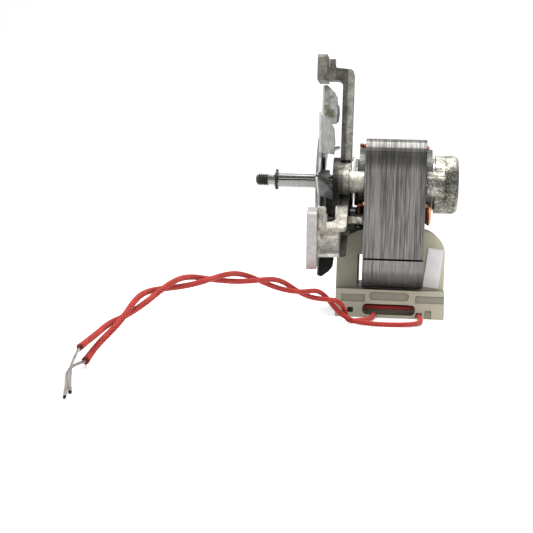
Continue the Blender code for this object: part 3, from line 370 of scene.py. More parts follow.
@dataclass(frozen=True)
class Pocket:
    """Hollow of a casting with painted shade in it and painted light on its front wall: behind one X and
    between two heights.
    """

    behind: float
    bottom: float
    top: float
    edge: float = 0.0004
    # X where the painted light on the front wall begins, and where it is full
    wall: tuple[float, float] = (-0.0145, -0.0135)
    painted_shade: Colour = (0.16, 0.17, 0.16)
    web: Colour = (1.45, 1.48, 1.60)

    def paint_pocket_shade(self, graph: ShaderGraph, colour: Socket) -> Socket:
        """Paint shade into the hollow and light onto its front wall.

        Args:
            graph: the material under construction.
            colour: the casting's colour so far.

        Returns:
            The colour with both.
        """
        low, high, rim = self.bottom - self.edge, self.top + self.edge, self.behind - self.edge
        inside = graph.tone_along("Z", ((low, 0.0), (self.bottom, 1.0), (self.top, 1.0), (high, 0.0)))
        rear = graph.tone_along("X", ((rim, 0.0), (self.behind + self.edge, 1.0)))
        wall = ((self.wall[0], 0.0), (self.wall[1], 1.0), (rim, 1.0), (self.behind, 0.0))
        front = graph.tone_along("X", wall)
        # Painted shade in the hollow
        colour = graph.mix(graph.times(inside, rear), colour, graph.times(colour, self.painted_shade))
        # Painted light on the hollow's front wall
        return graph.mix(graph.times(inside, front), colour, graph.times(colour, self.web))


@dataclass(frozen=True)
class FootFace:
    """Machined lower foot: smoother and cooler than the cast skin, with a reddish lower end."""

    behind: float = -0.0146
    below: float = 0.0462
    share: float = 0.72
    front_edge: float = 0.0004
    low_edge: float = 0.0010
    # Height, with the share of the reddish tone there
    stain: Pairs = ((0.0205, 1.0), (0.0225, 0.55), (0.0262, 0.0))
    clean: Colour = (0.385, 0.372, 0.382)
    stained: Colour = (0.30, 0.17, 0.185)

    def lay(self, graph: ShaderGraph, colour: Socket) -> Socket:
        """Lay the face's own colour over the casting's colour, in front of one X and below one height.

        Args:
            graph: the material under construction.
            colour: the casting's colour so far.

        Returns:
            The colour with the face's own laid over it.
        """
        front = graph.tone_along("X", ((self.behind - self.front_edge, self.share), (self.behind, 0.0)))
        low = graph.tone_along("Z", ((self.below - self.low_edge, 1.0), (self.below, 0.0)))
        face = graph.mix(graph.tone_along("Z", self.stain), self.clean, self.stained)
        return graph.mix(graph.times(front, low), colour, face)


@dataclass(frozen=True)
class CastFinish:
    """Die-cast alloy: pitted skin, dull patches and brighter spots, with light and shade painted by place
    and painted glints in the dimples.
    """

    name: str
    dark: Colour
    light: Colour
    bright: Colour
    metallic: float = 0.75
    roughness: tuple[float, float] = (0.42, 0.7)
    # Painted light and shade: tones by Z and by X; below the height depths_below, tones by Y take their
    # place
    heights: Pairs = ((0.0, 1.0), (1.0, 1.0))
    depths: Pairs = ((0.0, 1.0), (1.0, 1.0))
    lengths: Pairs = ((-1.0, 1.0), (1.0, 1.0))
    depths_below: float = 0.0
    # Past the X called beyond, heights_beyond takes the place of heights
    beyond: float = 1.0
    heights_beyond: Pairs = ((0.0, 1.0), (1.0, 1.0))
    beyond_edge: float = 0.0003
    below_edge: float = 0.0006
    pocket: Pocket | None = None
    face: FootFace | None = None
    # Share of hammered dimples, how many lie on a metre, how much noise bends them, and their rims' tint;
    # darker rims and lighter middles are painted reflection
    dimples: float = 0.0
    dimple_scale: float = 1050.0
    dimple_bend: Triple = (0.0015, 0.0015, 0.0015)
    dimple_rim: Colour = (0.22, 0.21, 0.19)
    tint: Colour = (1.0, 0.985, 0.90)

    def make(self) -> Material:
        """Tone follows two sizes of noise and the place on the casting; pits are a fine noise as bump.

        Returns:
            The finished material.
        """
        graph = ShaderGraph(self.name)
        vector = graph.place()
        patches = graph.noise(vector, 260.0, 5.0)
        pits = graph.noise(vector, 1500.0, 4.0)
        value = graph.weighted((patches, 0.55), (pits, 0.45))
        colour = graph.ramp(value, [(0.38, self.dark), (0.5, self.light), (0.66, self.bright)])
        # Painted light and shade by place
        colour = graph.times(colour, self.tones(graph))
        if self.pocket is not None:
            colour = self.pocket.paint_pocket_shade(graph, colour)
        colour = graph.times(colour, self.tint)
        if self.face is not None:
            colour = self.face.lay(graph, colour)
        normal = graph.bump(patches, 0.35, 0.0005, graph.soft_edges(0.0005))
        if self.dimples > 0.0:
            bent = graph.add("VectorMath", Vector=vector)
            graph.feed(bent.inputs[1], graph.times(self.dimple_bend, patches))
            voronoi = graph.add("TexVoronoi", Vector=bent.outputs[0], Scale=self.dimple_scale)
            cells = voronoi.outputs["Distance"]
            # Darker dimple rims and lighter middles: painted reflection of the hammered skin
            rim = graph.remap(cells, 0.42, 0.75, 0.0, self.dimples)
            colour = graph.mix(rim, colour, graph.times(colour, self.dimple_rim))
            worn = graph.remap(cells, 0.22, 0.05, 0.0, self.dimples * 0.8)
            colour = graph.mix(worn, colour, self.bright)
            normal = graph.bump(cells, 0.6, 0.0003, normal)
        normal = graph.bump(pits, 0.5, 0.00022, normal)
        graph.set(
            Base_Color=colour,
            Metallic=self.metallic,
            Roughness=graph.remap(value, 0.35, 0.65, self.roughness[1], self.roughness[0]),
            Normal=normal,
        )
        return graph.material

    def tones(self, graph: ShaderGraph) -> Socket:
        """Painted light and shade: a grey multiplier by the place on the casting.

        Args:
            graph: the material under construction.

        Returns:
            The multiplier as a colour socket.
        """
        first, last = self.beyond - self.beyond_edge, self.beyond + self.beyond_edge
        behind = graph.tone_along("X", ((first, 0.0), (last, 1.0)))
        near, far = graph.tone_along("Z", self.heights), graph.tone_along("Z", self.heights_beyond)
        above = graph.times(graph.mix(behind, near, far), graph.tone_along("X", self.lengths))
        low, high = self.depths_below - self.below_edge, self.depths_below + self.below_edge
        side = graph.tone_along("Z", ((low, 0.0), (high, 1.0)))
        return graph.mix(side, graph.tone_along("Y", self.depths), above)


@dataclass(frozen=True)
class MetalFinish:
    """Worked metal with fine marks along its grain and faint stains."""

    name: str
    colour: Colour
    stain: Colour
    grain: Grain
    roughness: float = 0.28
    metallic: float = 1.0

    def make(self) -> Material:
        """Marks are noise stretched across the grain's direction.

        Returns:
            The finished material.
        """
        graph = ShaderGraph(self.name)
        stretch = {
            Grain.TURNED: (5200.0, 260.0, 260.0),
            Grain.ROLLED: (240.0, 240.0, 2600.0),
            Grain.CAST: (1500.0, 1500.0, 1500.0),
        }[self.grain]
        marks = graph.stretched(stretch, 3.0)
        stains = graph.noise(graph.place(), 180.0, 4.0)
        base = graph.mix(graph.remap(stains, 0.45, 0.75, 0.0, 0.8), self.colour, self.stain)
        colour = graph.mix(graph.remap(marks, 0.3, 0.7, 0.0, 0.35), base, self.stain)
        graph.set(
            Base_Color=colour,
            Metallic=self.metallic,
            Roughness=graph.remap(marks, 0.3, 0.7, self.roughness * 0.8, self.roughness * 1.35),
            Normal=graph.bump(marks, 0.3, 0.00005),
        )
        return graph.material


@dataclass(frozen=True)
class FanFinish:
    """Pressed sheet whose blades range from mid grey to nearly black, from painted light and shade per
    blade.
    """

    name: str
    pale: Colour = (0.46, 0.46, 0.45)
    scuff: Colour = (0.30, 0.30, 0.295)
    film: Colour = (0.125, 0.130, 0.075)
    rim: float = 0.0205
    rim_edge: float = 0.0010
    # Tones of the flat sheet's front and rear faces; the dark rear is painted shade
    disc_tone: float = 0.5
    rear_tone: float = 0.10
    # Share of a turn from the far side over the top, with the tone there: painted light and shade on each
    # blade
    blades: Pairs = (
        *((0.0, 0.20), (0.19, 0.30), (0.25, 0.52), (0.350, 0.52), (0.362, 0.70), (0.465, 0.62)),
        *((0.48, 0.11), (0.57, 0.11), (0.60, 0.36), (0.80, 0.36), (0.84, 0.2), (1.0, 0.20)),
    )
    # heights paint shade low down, bend_line paints a highlight along each bend, and film_share is a painted
    # reflection heaviest on the upper blades
    heights: Pairs = ((0.0140, 0.22), (0.0300, 0.22), (0.0340, 1.0), (0.0980, 1.0))
    bend_line: Pairs = ((-0.0175, 0.0), (-0.0163, 0.0), (-0.0161, 0.85), (-0.0156, 0.85), (-0.0152, 0.0))
    film_share: Pairs = ((0.0, 0.3), (0.22, 1.0), (0.35, 1.0), (0.36, 0.25), (0.5, 0.1), (1.0, 0.3))

    def make(self) -> Material:
        """Painted light and shade per blade, times a mottled oil film and fine rolling marks.

        Returns:
            The finished material.
        """
        graph = ShaderGraph(self.name)
        around = graph.angle_share()
        mottle = graph.noise(graph.place(), 320.0, 5.0)
        marks = graph.stretched((2600.0, 300.0, 300.0), 3.0)
        low, high = self.rim - self.rim_edge, self.rim + self.rim_edge
        outward = graph.remap(graph.shaft_distance(), low, high, 0.0, 1.0)
        facing = graph.add("SeparateXYZ", Vector=graph.add("NewGeometry").outputs["True Normal"])
        rearward = graph.remap(facing.outputs["X"], 0.3, 0.7, 0.0, 1.0)
        # Dark rear faces: painted shade
        flat = graph.mix(rearward, (self.disc_tone,) * 3, (self.rear_tone,) * 3)
        tone = graph.mix(outward, flat, graph.greys(around, self.blades))
        # The film is mottled at random; its share by turn is painted reflection, heaviest on the upper
        # blades
        film = graph.greys(around, self.film_share)
        spots = graph.math("MULTIPLY", graph.remap(mottle, 0.42, 0.62, 0.0, 1.0), film)
        sheet = graph.mix(graph.remap(marks, 0.42, 0.62, 0.0, 1.0), self.pale, self.scuff)
        colour = graph.times(graph.mix(spots, sheet, self.film), tone)
        # Pale line along each bend: painted highlight
        colour = graph.mix(graph.tone_along("X", self.bend_line), colour, self.pale)
        # Darker low down: painted shade behind the foot
        colour = graph.times(colour, graph.tone_along("Z", self.heights))
        graph.set(
            Base_Color=colour,
            Metallic=0.55,
            Roughness=graph.remap(mottle, 0.35, 0.65, 0.34, 0.55),
            Normal=graph.bump(marks, 0.25, 0.00005, graph.bump(mottle, 0.35, 0.0004)),
        )
        return graph.material


@dataclass(frozen=True)
class ShaftFinish:
    """Ground shaft with painted reflection bands along it and an oily dark thread."""

    name: str
    # Share of a turn from the far side over the top, with the tone there: painted reflection bands
    painted_reflection_bands: Pairs = (
        *((0.0, 0.25), (0.10, 0.45), (0.22, 0.34), (0.366, 0.24), (0.378, 0.015), (0.446, 0.02)),
        *((0.454, 0.34), (0.464, 0.26), (0.471, 0.02), (0.492, 0.02), (0.500, 0.24)),
        *((0.58, 0.28), (0.66, 0.36), (0.75, 0.42), (1.0, 0.25)),
    )
    steel: Colour = (0.98, 0.97, 0.93)
    oil: Colour = (0.045, 0.043, 0.036)
    thread_end: float = -0.0389
    thread_edge: float = 0.0006

    def make(self) -> Material:
        """Painted reflection: tone by the share of a turn stored on the mesh; the nose is darker.

        Returns:
            The finished material.
        """
        graph = ShaderGraph(self.name)
        marks = graph.stretched((5200.0, 260.0, 260.0), 3.0)
        wander = graph.remap(graph.stretched((90.0, 600.0, 600.0), 2.0), 0.3, 0.7, -0.006, 0.006)
        shifted = graph.math("ADD", graph.stored(ROUND_SHARE), wander)
        # Painted reflection bands round the shaft
        colour = graph.times(graph.greys(shifted, self.painted_reflection_bands), self.steel)
        dark_from = self.thread_end - self.thread_edge
        nose = graph.tone_along("X", ((dark_from, 1.0), (self.thread_end, 0.0)))
        colour = graph.mix(nose, colour, self.oil)
        graph.set(
            Base_Color=colour,
            Metallic=0.75,
            Roughness=graph.remap(marks, 0.3, 0.7, 0.22, 0.36),
            Normal=graph.bump(marks, 0.2, 0.00004),
        )
        return graph.material


@dataclass(frozen=True)
class MouldedFinish:
    """Nylon, tape or felt: a colour that drifts a little, with a fine grain as bump."""

    name: str
    colour: Colour
    shade: Colour
    roughness: float = 0.45
    grain: float = 900.0
    pits: float = 0.12
    edge: float = 0.0003
    # Tones along X and along Y: painted light and shade where an instance sets them
    lengths: Pairs = ((-1.0, 1.0), (1.0, 1.0))
    depths: Pairs = ((-1.0, 1.0), (1.0, 1.0))

    def make(self) -> Material:
        """The drift is a broad noise, the grain a fine one; tones along X and Y are painted light and shade.

        Returns:
            The finished material.
        """
        graph = ShaderGraph(self.name)
        vector = graph.place()
        drift = graph.noise(vector, 60.0, 3.0)
        grain = graph.noise(vector, self.grain, 3.0)
        colour = graph.mix(graph.remap(drift, 0.35, 0.7, 0.0, 1.0), self.colour, self.shade)
        colour = graph.times(colour, graph.tone_along("X", self.lengths))
        colour = graph.times(colour, graph.tone_along("Y", self.depths))
        graph.set(
            Base_Color=colour,
            Roughness=graph.remap(grain, 0.3, 0.7, self.roughness * 0.85, self.roughness * 1.15),
            Normal=graph.bump(grain, self.pits, 0.0002, graph.soft_edges(self.edge)),
        )
        return graph.material


@dataclass(frozen=True)
class PrintedFinish:
    """Plain matt paper of the blank label."""

    name: str
    colour: Colour = (0.66, 0.65, 0.64)
    shade: Colour = (0.52, 0.51, 0.50)

    def make(self) -> Material:
        """Paper white that drifts a little, with a fibre grain.

        Returns:
            The finished material.
        """
        graph = ShaderGraph(self.name)
        vector = graph.place()
        drift = graph.noise(vector, 220.0, 4.0)
        fibre = graph.noise(vector, 2600.0, 3.0)
        colour = graph.mix(graph.remap(drift, 0.4, 0.75, 0.0, 0.7), self.colour, self.shade)
        graph.set(Base_Color=colour, Roughness=0.5, Normal=graph.bump(fibre, 0.1, 0.00005))
        return graph.material


@dataclass(frozen=True)
class BraidFinish:
    """Braided sleeve: colour follows how high a point lies in the weave, with painted shade in its hollows.
    """

    name: str
    high: Colour = (0.46, 0.035, 0.024)
    # Low colour: painted shade in the weave's hollows
    low: Colour = (0.055, 0.003, 0.003)
    worn: Colour = (0.58, 0.085, 0.060)

    def make(self) -> Material:
        """The weave's height is an attribute of the mesh; wear is a noise over it.

        Returns:
            The finished material.
        """
        graph = ShaderGraph(self.name)
        height = graph.stored(WEAVE_HEIGHT)
        vector = graph.place()
        fibre = graph.noise(vector, 3500.0, 3.0)
        wear = graph.noise(vector, 150.0, 3.0)
        base = graph.mix(graph.remap(height, 0.25, 0.95, 0.0, 1.0), self.low, self.high)
        share = graph.math("MULTIPLY", graph.remap(wear, 0.5, 0.75, 0.0, 0.5), height)
        colour = graph.mix(share, base, self.worn)
        graph.set(
            Base_Color=colour,
            Roughness=0.65,
            Specular_IOR_Level=0.2,
            Sheen_Weight=0.05,
            Normal=graph.bump(fibre, 0.35, 0.00008),
        )
        return graph.material


@dataclass(frozen=True)
class StageFinish:
    """Floor that looks white to the eye and to metal, and still keeps the object's shadow."""

    name: str = "white floor"
    grey: float = 0.82
    glow: float = 0.30

    def make(self) -> Material:
        """It glows a little to the camera, mirrors and clear pieces; the rest is plain diffuse.

        Returns:
            The finished material.
        """
        graph = ShaderGraph(self.name)
        path = graph.add("LightPath")
        seen = graph.math("MAXIMUM", path.outputs["Is Camera Ray"], path.outputs["Is Glossy Ray"])
        seen = graph.math("MAXIMUM", seen, path.outputs["Is Transmission Ray"])
        graph.set(
            Base_Color=(self.grey, self.grey, self.grey),
            Roughness=0.9,
            Specular_IOR_Level=0.0,
            Emission_Color=(1.0, 1.0, 1.0),
            Emission_Strength=graph.math("MULTIPLY", seen, self.glow),
        )
        return graph.material


# Its tones by height are painted shade: a dark band about the shaft's height, darker still past the X called
# beyond
BLASTED_CAST = CastFinish(
    "cast alloy, blasted",
    (0.14, 0.137, 0.125),
    (0.42, 0.41, 0.385),
    (0.80, 0.79, 0.76),
    heights=(
        *((0.0430, 0.95), (0.0510, 0.85), (0.0540, 0.60), (0.0560, 0.30), (0.0580, 0.28)),
        *((0.0588, 0.95), (0.0640, 1.0)),
    ),
    beyond=0.0368,
    heights_beyond=(
        *((0.0430, 0.80), (0.0510, 0.66), (0.0535, 0.24)),
        *((0.0615, 0.17), (0.0632, 0.55), (0.0640, 0.8)),
    ),
    dimples=0.55,
)
# Tones by height, by X and by Y are painted light and shade: darker hub, recess and inner lower arms,
# lighter post beside the stack
SHADED_CAST = CastFinish(
    "cast alloy, light and shade painted by place",
    (0.24, 0.232, 0.215),
    (0.42, 0.41, 0.39),
    (0.66, 0.65, 0.62),
    heights=(
        *((0.0440, 0.24), (0.0560, 0.32), (0.0600, 0.60), (0.0615, 0.60), (0.0760, 0.68)),
        *((0.0850, 0.54), (0.0960, 0.46), (0.1000, 0.42), (0.1100, 0.45)),
    ),
    lengths=(
        *((-0.0190, 0.66), (-0.0110, 0.64), (-0.0107, 0.34), (-0.0058, 0.34)),
        *((-0.0050, 1.00), (-0.0030, 1.15), (-0.0024, 2.1), (0.0040, 2.3)),
    ),
    face=FootFace(),
    pocket=Pocket(-0.0057, 0.0255, 0.0338),
    depths=((-0.050, 0.72), (-0.0300, 0.72), (-0.0260, 0.50), (-0.0235, 0.09), (-0.0110, 0.09)),
    depths_below=0.0460,
)
# Its tones by height are a painted highlight along the top's rounded edge and a painted dark reflection band
# below it
STACK = LaminationFinish(
    "electrical steel edges",
    heights=(
        *((0.0240, 0.62), (0.0400, 0.62), (0.0610, 0.56), (0.0645, 0.24), (0.0690, 0.15)),
        *((0.0704, 0.22), (0.0716, 0.43), (0.0728, 0.56), (0.0742, 0.40)),
    ),
)
BRIGHT_STEEL = MetalFinish("bright ground steel", (0.66, 0.66, 0.65), (0.30, 0.29, 0.27), Grain.TURNED, 0.22)
BLUED_STEEL = MetalFinish(
    "blued spring steel", (0.035, 0.035, 0.036), (0.015, 0.014, 0.013), Grain.ROLLED, 0.35
)
ALUMINIUM = MetalFinish("aluminium sheet", (0.42, 0.42, 0.42), (0.26, 0.26, 0.25), Grain.ROLLED, 0.36, 0.9)
COPPER = MetalFinish("bright copper", (0.66, 0.29, 0.17), (0.38, 0.17, 0.10), Grain.TURNED, 0.34)
BRONZE = MetalFinish("sintered bronze", (0.50, 0.37, 0.22), (0.28, 0.19, 0.10), Grain.CAST, 0.45)
NYLON = MouldedFinish("natural nylon", (0.70, 0.69, 0.64), (0.60, 0.58, 0.52), 0.40)
# Its tones along X are painted shade, darker towards the front
CREAM_NYLON = MouldedFinish(
    "cream glass-filled nylon",
    (0.44, 0.42, 0.315),
    (0.36, 0.34, 0.25),
    0.42,
    lengths=((-0.008, 0.56), (0.012, 0.56), (0.026, 0.72), (0.034, 0.98), (0.038, 1.10)),
)
# Tones along X are painted shade, and tones along Y paint shade into the box's recesses
SHADED_BOX_NYLON = MouldedFinish(
    "box of cream nylon, painted shade in its recesses",
    (0.44, 0.415, 0.315),
    (0.36, 0.335, 0.25),
    0.42,
    lengths=((-0.008, 0.68), (0.012, 0.74), (0.026, 0.78), (0.038, 0.82)),
    depths=((-0.02605, 1.0), (-0.02580, 0.66), (-0.02535, 0.66), (-0.02500, 0.45)),
)
TAPE = MouldedFinish("black tape", (0.010, 0.010, 0.011), (0.018, 0.017, 0.016), 0.40)
FELT = MouldedFinish("oiled felt", (0.30, 0.24, 0.16), (0.20, 0.15, 0.10), 0.9, 2600.0, 0.6)
TINNED_WIRE = MetalFinish("tinned copper strand", (0.42, 0.40, 0.38), (0.20, 0.17, 0.15), Grain.CAST, 0.35)
HIDDEN_SLEEVE = MouldedFinish(
    "red sleeve in the box", (0.42, 0.020, 0.016), (0.22, 0.010, 0.009), 0.6, 2200.0, 0.5
)
DULL_COLLAR = MetalFinish("dulled steel collar", (0.20, 0.20, 0.19), (0.07, 0.07, 0.065), Grain.ROLLED, 0.40)
# Its near-black tone is painted shade on a ring that lies in shadow
CAST_RING = MetalFinish(
    "die-cast aluminium ring", (0.085, 0.085, 0.080), (0.02, 0.02, 0.018), Grain.CAST, 0.42, 0.7
)
# Its tones by height are painted shade, darker towards the floor
COIL_STACK = LaminationFinish(
    "coil's steel edges",
    (0.20, 0.195, 0.188),
    (0.32, 0.313, 0.302),
    heights=((0.0130, 0.12), (0.0148, 0.16), (0.0181, 0.34), (0.0205, 0.62), (0.0240, 0.70)),
)

SLOT_FINISHES: dict[str, Finish] = {
    "laminations": STACK,
    "casting": BLASTED_CAST,
    "steel": BRIGHT_STEEL,
    "dark_steel": BLUED_STEEL,
    "aluminium": ALUMINIUM,
    "copper": COPPER,
    "bronze": BRONZE,
    "moulding": CREAM_NYLON,
    "tape": TAPE,
    "label": PrintedFinish("blank label"),
    "nylon": NYLON,
    "felt": FELT,
    "sleeve": BraidFinish("red braided sleeve"),
    "tinned_wire": TINNED_WIRE,
}
NODE_FINISHES: dict[str, Finish] = {
    "front_bracket": SHADED_CAST,
    "terminal_box": SHADED_BOX_NYLON,
    "lead_inside_box": HIDDEN_SLEEVE,
    "fan_bush": DULL_COLLAR,
    "rotor_cage": CAST_RING,
    "coil_core": COIL_STACK,
    "shaft": ShaftFinish("ground shaft"),
    "cooling_fan": FanFinish("fan sheet, painted light and shade per blade"),
}


@dataclass(frozen=True)
class Finishes:
    """Every finish of the motor, by the record's slot or by the node that needs its own."""

    by_slot: dict[str, Material]
    by_node: dict[str, Material]

    @classmethod
    def build(cls) -> "Finishes":
        """Make the materials once.

        Returns:
            The finishes, ready to be laid on pieces.
        """
        by_slot = {slot: finish.make() for slot, finish in SLOT_FINISHES.items()}
        by_node = {node: finish.make() for node, finish in NODE_FINISHES.items()}
        return cls(by_slot, by_node)

    def dress(self) -> None:
        """Give every CAD node its finish."""
        for part in frame["record"]["subparts"]:
            name = part["node"]
            finish = self.by_node.get(name, self.by_slot[part["material_slot"]])
            data = frame["nodes"][name].data
            data.materials.clear()
            data.materials.append(finish)
            log.info("finish of %s: %s", name, finish.name)


@dataclass(frozen=True)
class PhotoCamera:
    """The camera that took the photo, as fitted to the motor's known sizes."""

    location: tuple[float, float, float] = (0.013151, -0.551571, 0.053764)
    yaw: float = 5.39105
    pitch: float = -3.69173
    roll: float = 1.70081
    lens: float = 85.11
    sensor: float = 36.0
    clip: tuple[float, float] = (0.01, 20.0)

    def build(self) -> bpy.types.Object:
        """Place the camera from its three angles.

        Returns:
            The camera, which is also made the scene's own.
        """
        yaw, pitch, roll = (math.radians(angle) for angle in (self.yaw, self.pitch, self.roll))
        level = math.cos(pitch)
        forward = Vector((-math.sin(yaw) * level, math.cos(yaw) * level, math.sin(pitch)))
        right = Vector((math.cos(yaw), math.sin(yaw), 0.0))
        up = right.cross(forward)
        rolled_right = right * math.cos(roll) + up * math.sin(roll)
        rolled_up = up * math.cos(roll) - right * math.sin(roll)
        turn = Matrix((rolled_right, rolled_up, -forward)).transposed().to_4x4()
        data = bpy.data.cameras.new("photo camera")
        data.lens = self.lens
        data.sensor_width = self.sensor
        data.sensor_height = self.sensor
        data.sensor_fit = "HORIZONTAL"
        data.clip_start, data.clip_end = self.clip
        camera = bpy.data.objects.new("photo_camera", data)
        camera.matrix_world = Matrix.Translation(self.location) @ turn
        bpy.context.scene.collection.objects.link(camera)
        bpy.context.scene.camera = camera
        log.info("camera at %s, lens %.1f mm", self.location, self.lens)
        return camera


@dataclass(frozen=True)
class SoftLamp:
    """Rectangular lamp aimed at the motor."""

    name: str
    location: tuple[float, float, float]
    size: tuple[float, float]
    power: float
    target: tuple[float, float, float] = (0.012, 0.0, 0.055)

    def build(self) -> None:
        """Make the lamp and turn it to its target."""
        data = bpy.data.lights.new(self.name, "AREA")
        data.shape = "RECTANGLE"
        data.size, data.size_y = self.size
        data.energy = self.power
        lamp = bpy.data.objects.new(self.name, data)
        lamp.location = self.location
        aim = Vector(self.target) - Vector(self.location)
        lamp.rotation_euler = aim.to_track_quat("-Z", "Y").to_euler()
        bpy.context.scene.collection.objects.link(lamp)


@dataclass(frozen=True)
class Studio:
    """White floor that curves up into a backdrop, soft lamps and an even surround."""

    half_width: float = 2.2
    front: float = -2.0
    back: float = 1.6
    sweep: float = 0.8
    height: float = 2.4
    curve_rows: int = 25
    # Strength of the surround as light, and as the camera and mirrors see it
    strengths: tuple[float, float] = (0.50, 1.0)
    lamps: tuple[SoftLamp, ...] = (
        SoftLamp("key", (-0.50, -0.60, 0.95), (0.6, 0.6), 7.5),
        SoftLamp("fill", (0.80, -0.75, 0.50), (0.7, 0.7), 4.0),
        SoftLamp("top", (0.08, -0.05, 1.0), (0.5, 0.5), 11.0),
    )

    def build(self) -> None:
        """Make the stage and the lights."""
        turn = np.radians(np.linspace(0.0, 90.0, self.curve_rows))
        bend = self.back - self.sweep + self.sweep * np.sin(turn)
        depth = np.concatenate(([self.front], bend, [self.back]))
        height = np.concatenate(([0.0], self.sweep * (1.0 - np.cos(turn)), [self.height]))
        rows = len(depth)
        left = np.column_stack((np.full(rows, -self.half_width), depth, height))
        right = np.column_stack((np.full(rows, self.half_width), depth, height))
        index = np.arange(rows - 1)
        faces = np.column_stack((index, index + rows, index + rows + 1, index + 1))
        mesh = bpy.data.meshes.new("white_sweep")
        mesh.from_pydata(np.vstack((left, right)).tolist(), [], faces.tolist())
        mesh.shade_smooth()
        mesh.materials.append(StageFinish().make())
        sweep = bpy.data.objects.new("white_sweep", mesh)
        bpy.context.scene.collection.objects.link(sweep)
        for lamp in self.lamps:
            lamp.build()
        self.surround()

    def surround(self) -> None:
        """Even pale surround, pure white to the camera and to mirrors."""
        world = bpy.data.worlds.new("studio")
        world.use_nodes = True
        bpy.context.scene.world = world
        tree = world.node_tree
        background = tree.nodes["Background"]
        background.inputs["Color"].default_value = (1.0, 1.0, 1.0, 1.0)
        path = tree.nodes.new("ShaderNodeLightPath").outputs
        level = tree.nodes.new("ShaderNodeMapRange")
        for end, strength in zip(("To Min", "To Max"), self.strengths):
            level.inputs[end].default_value = strength
        seen = path["Is Camera Ray"]
        for ray in ("Is Glossy Ray", "Is Transmission Ray"):
            either = tree.nodes.new("ShaderNodeMath")
            either.operation = "MAXIMUM"
            tree.links.new(seen, either.inputs[0])
            tree.links.new(path[ray], either.inputs[1])
            seen = either.outputs[0]
        tree.links.new(seen, level.inputs["Value"])
        tree.links.new(level.outputs["Result"], background.inputs["Strength"])


def smooth_curve(points: Array, per_segment: int = 12) -> Array:
    """Centripetal curve through every point.

    Args:
        points: the points chosen along the route, one row each.
        per_segment: steps from one point to the next.

    Returns:
        The dense curve, one row per point.
    """
    knots = np.asarray(points, dtype=float)
    padded = np.vstack((2.0 * knots[0] - knots[1], knots, 2.0 * knots[-1] - knots[-2]))
    dense = []
    for p0, p1, p2, p3 in zip(padded, padded[1:], padded[2:], padded[3:]):
        t1 = math.sqrt(np.linalg.norm(p1 - p0))
        t2 = t1 + math.sqrt(np.linalg.norm(p2 - p1))
        t3 = t2 + math.sqrt(np.linalg.norm(p3 - p2))
        t = np.linspace(t1, t2, per_segment, endpoint=False)[:, None]
        a1 = p0 * (t1 - t) / t1 + p1 * t / t1
        a2 = p1 * (t2 - t) / (t2 - t1) + p2 * (t - t1) / (t2 - t1)
        a3 = p2 * (t3 - t) / (t3 - t2) + p3 * (t - t2) / (t3 - t2)
        b1 = a1 * (t2 - t) / t2 + a2 * t / t2
        b2 = a2 * (t3 - t) / (t3 - t1) + a3 * (t - t1) / (t3 - t1)
        dense.append(b1 * (t2 - t) / (t2 - t1) + b2 * (t - t1) / (t2 - t1))
    dense.append(knots[-1:])
    return np.vstack(dense)


def round_angles(count: int) -> Array:
    """Even angles of a full turn in radians, without the last, which would repeat the first."""
    return np.linspace(0.0, TURN, count, endpoint=False)


def about_shaft(x: Array | float, radii: Array, turn: Array) -> Array:
    """Points round the shaft: X as given, Y radius × cos, Z the shaft's height + radius × sin.

    Args:
        x: places along the shaft.
        radii: distances from its axis.
        turn: angles from the far side over the top, in radians.

    Returns:
        The points, with X, Y and Z along the last axis.
    """
    across, rise = radii * np.cos(turn), radii * np.sin(turn)
    return np.stack((np.broadcast_to(x, across.shape), across, SHAFT_HEIGHT + rise), axis=-1)


def travelled(points: Array) -> Array:
    """Distance along a curve at each of its points."""
    return np.concatenate(([0.0], np.cumsum(np.linalg.norm(np.diff(points, axis=0), axis=1))))


def resample(points: Array, spacing: float) -> Array:
    """Points at even distances along a dense curve, both ends kept.

    Args:
        points: the dense curve.
        spacing: the distance wanted from one point to the next.

    Returns:
        The even points, at least three of them.
    """
    along = travelled(points)
    wanted = np.linspace(0.0, along[-1], max(3, int(round(along[-1] / spacing)) + 1))
    return np.column_stack([np.interp(wanted, along, points[:, axis]) for axis in range(3)])


def curve_frames(points: Array) -> tuple[Array, Array, Array]:
    """Directions along a curve that never runs straight up.

    Args:
        points: the curve, one row per point.

    Returns:
        Tangent, level and upright unit vectors, one row per point.
    """
    tangents = np.gradient(points, axis=0)
    tangents /= np.linalg.norm(tangents, axis=1)[:, None]
    level = np.cross(tangents, (0.0, 0.0, 1.0))
    level /= np.linalg.norm(level, axis=1)[:, None]
    return tangents, level, np.cross(level, tangents)


def sideways(turn: Array, level: Array, upright: Array) -> Array:
    """Directions at a turn round a curve: cos × level + sin × upright."""
    return np.cos(turn)[..., None] * level + np.sin(turn)[..., None] * upright


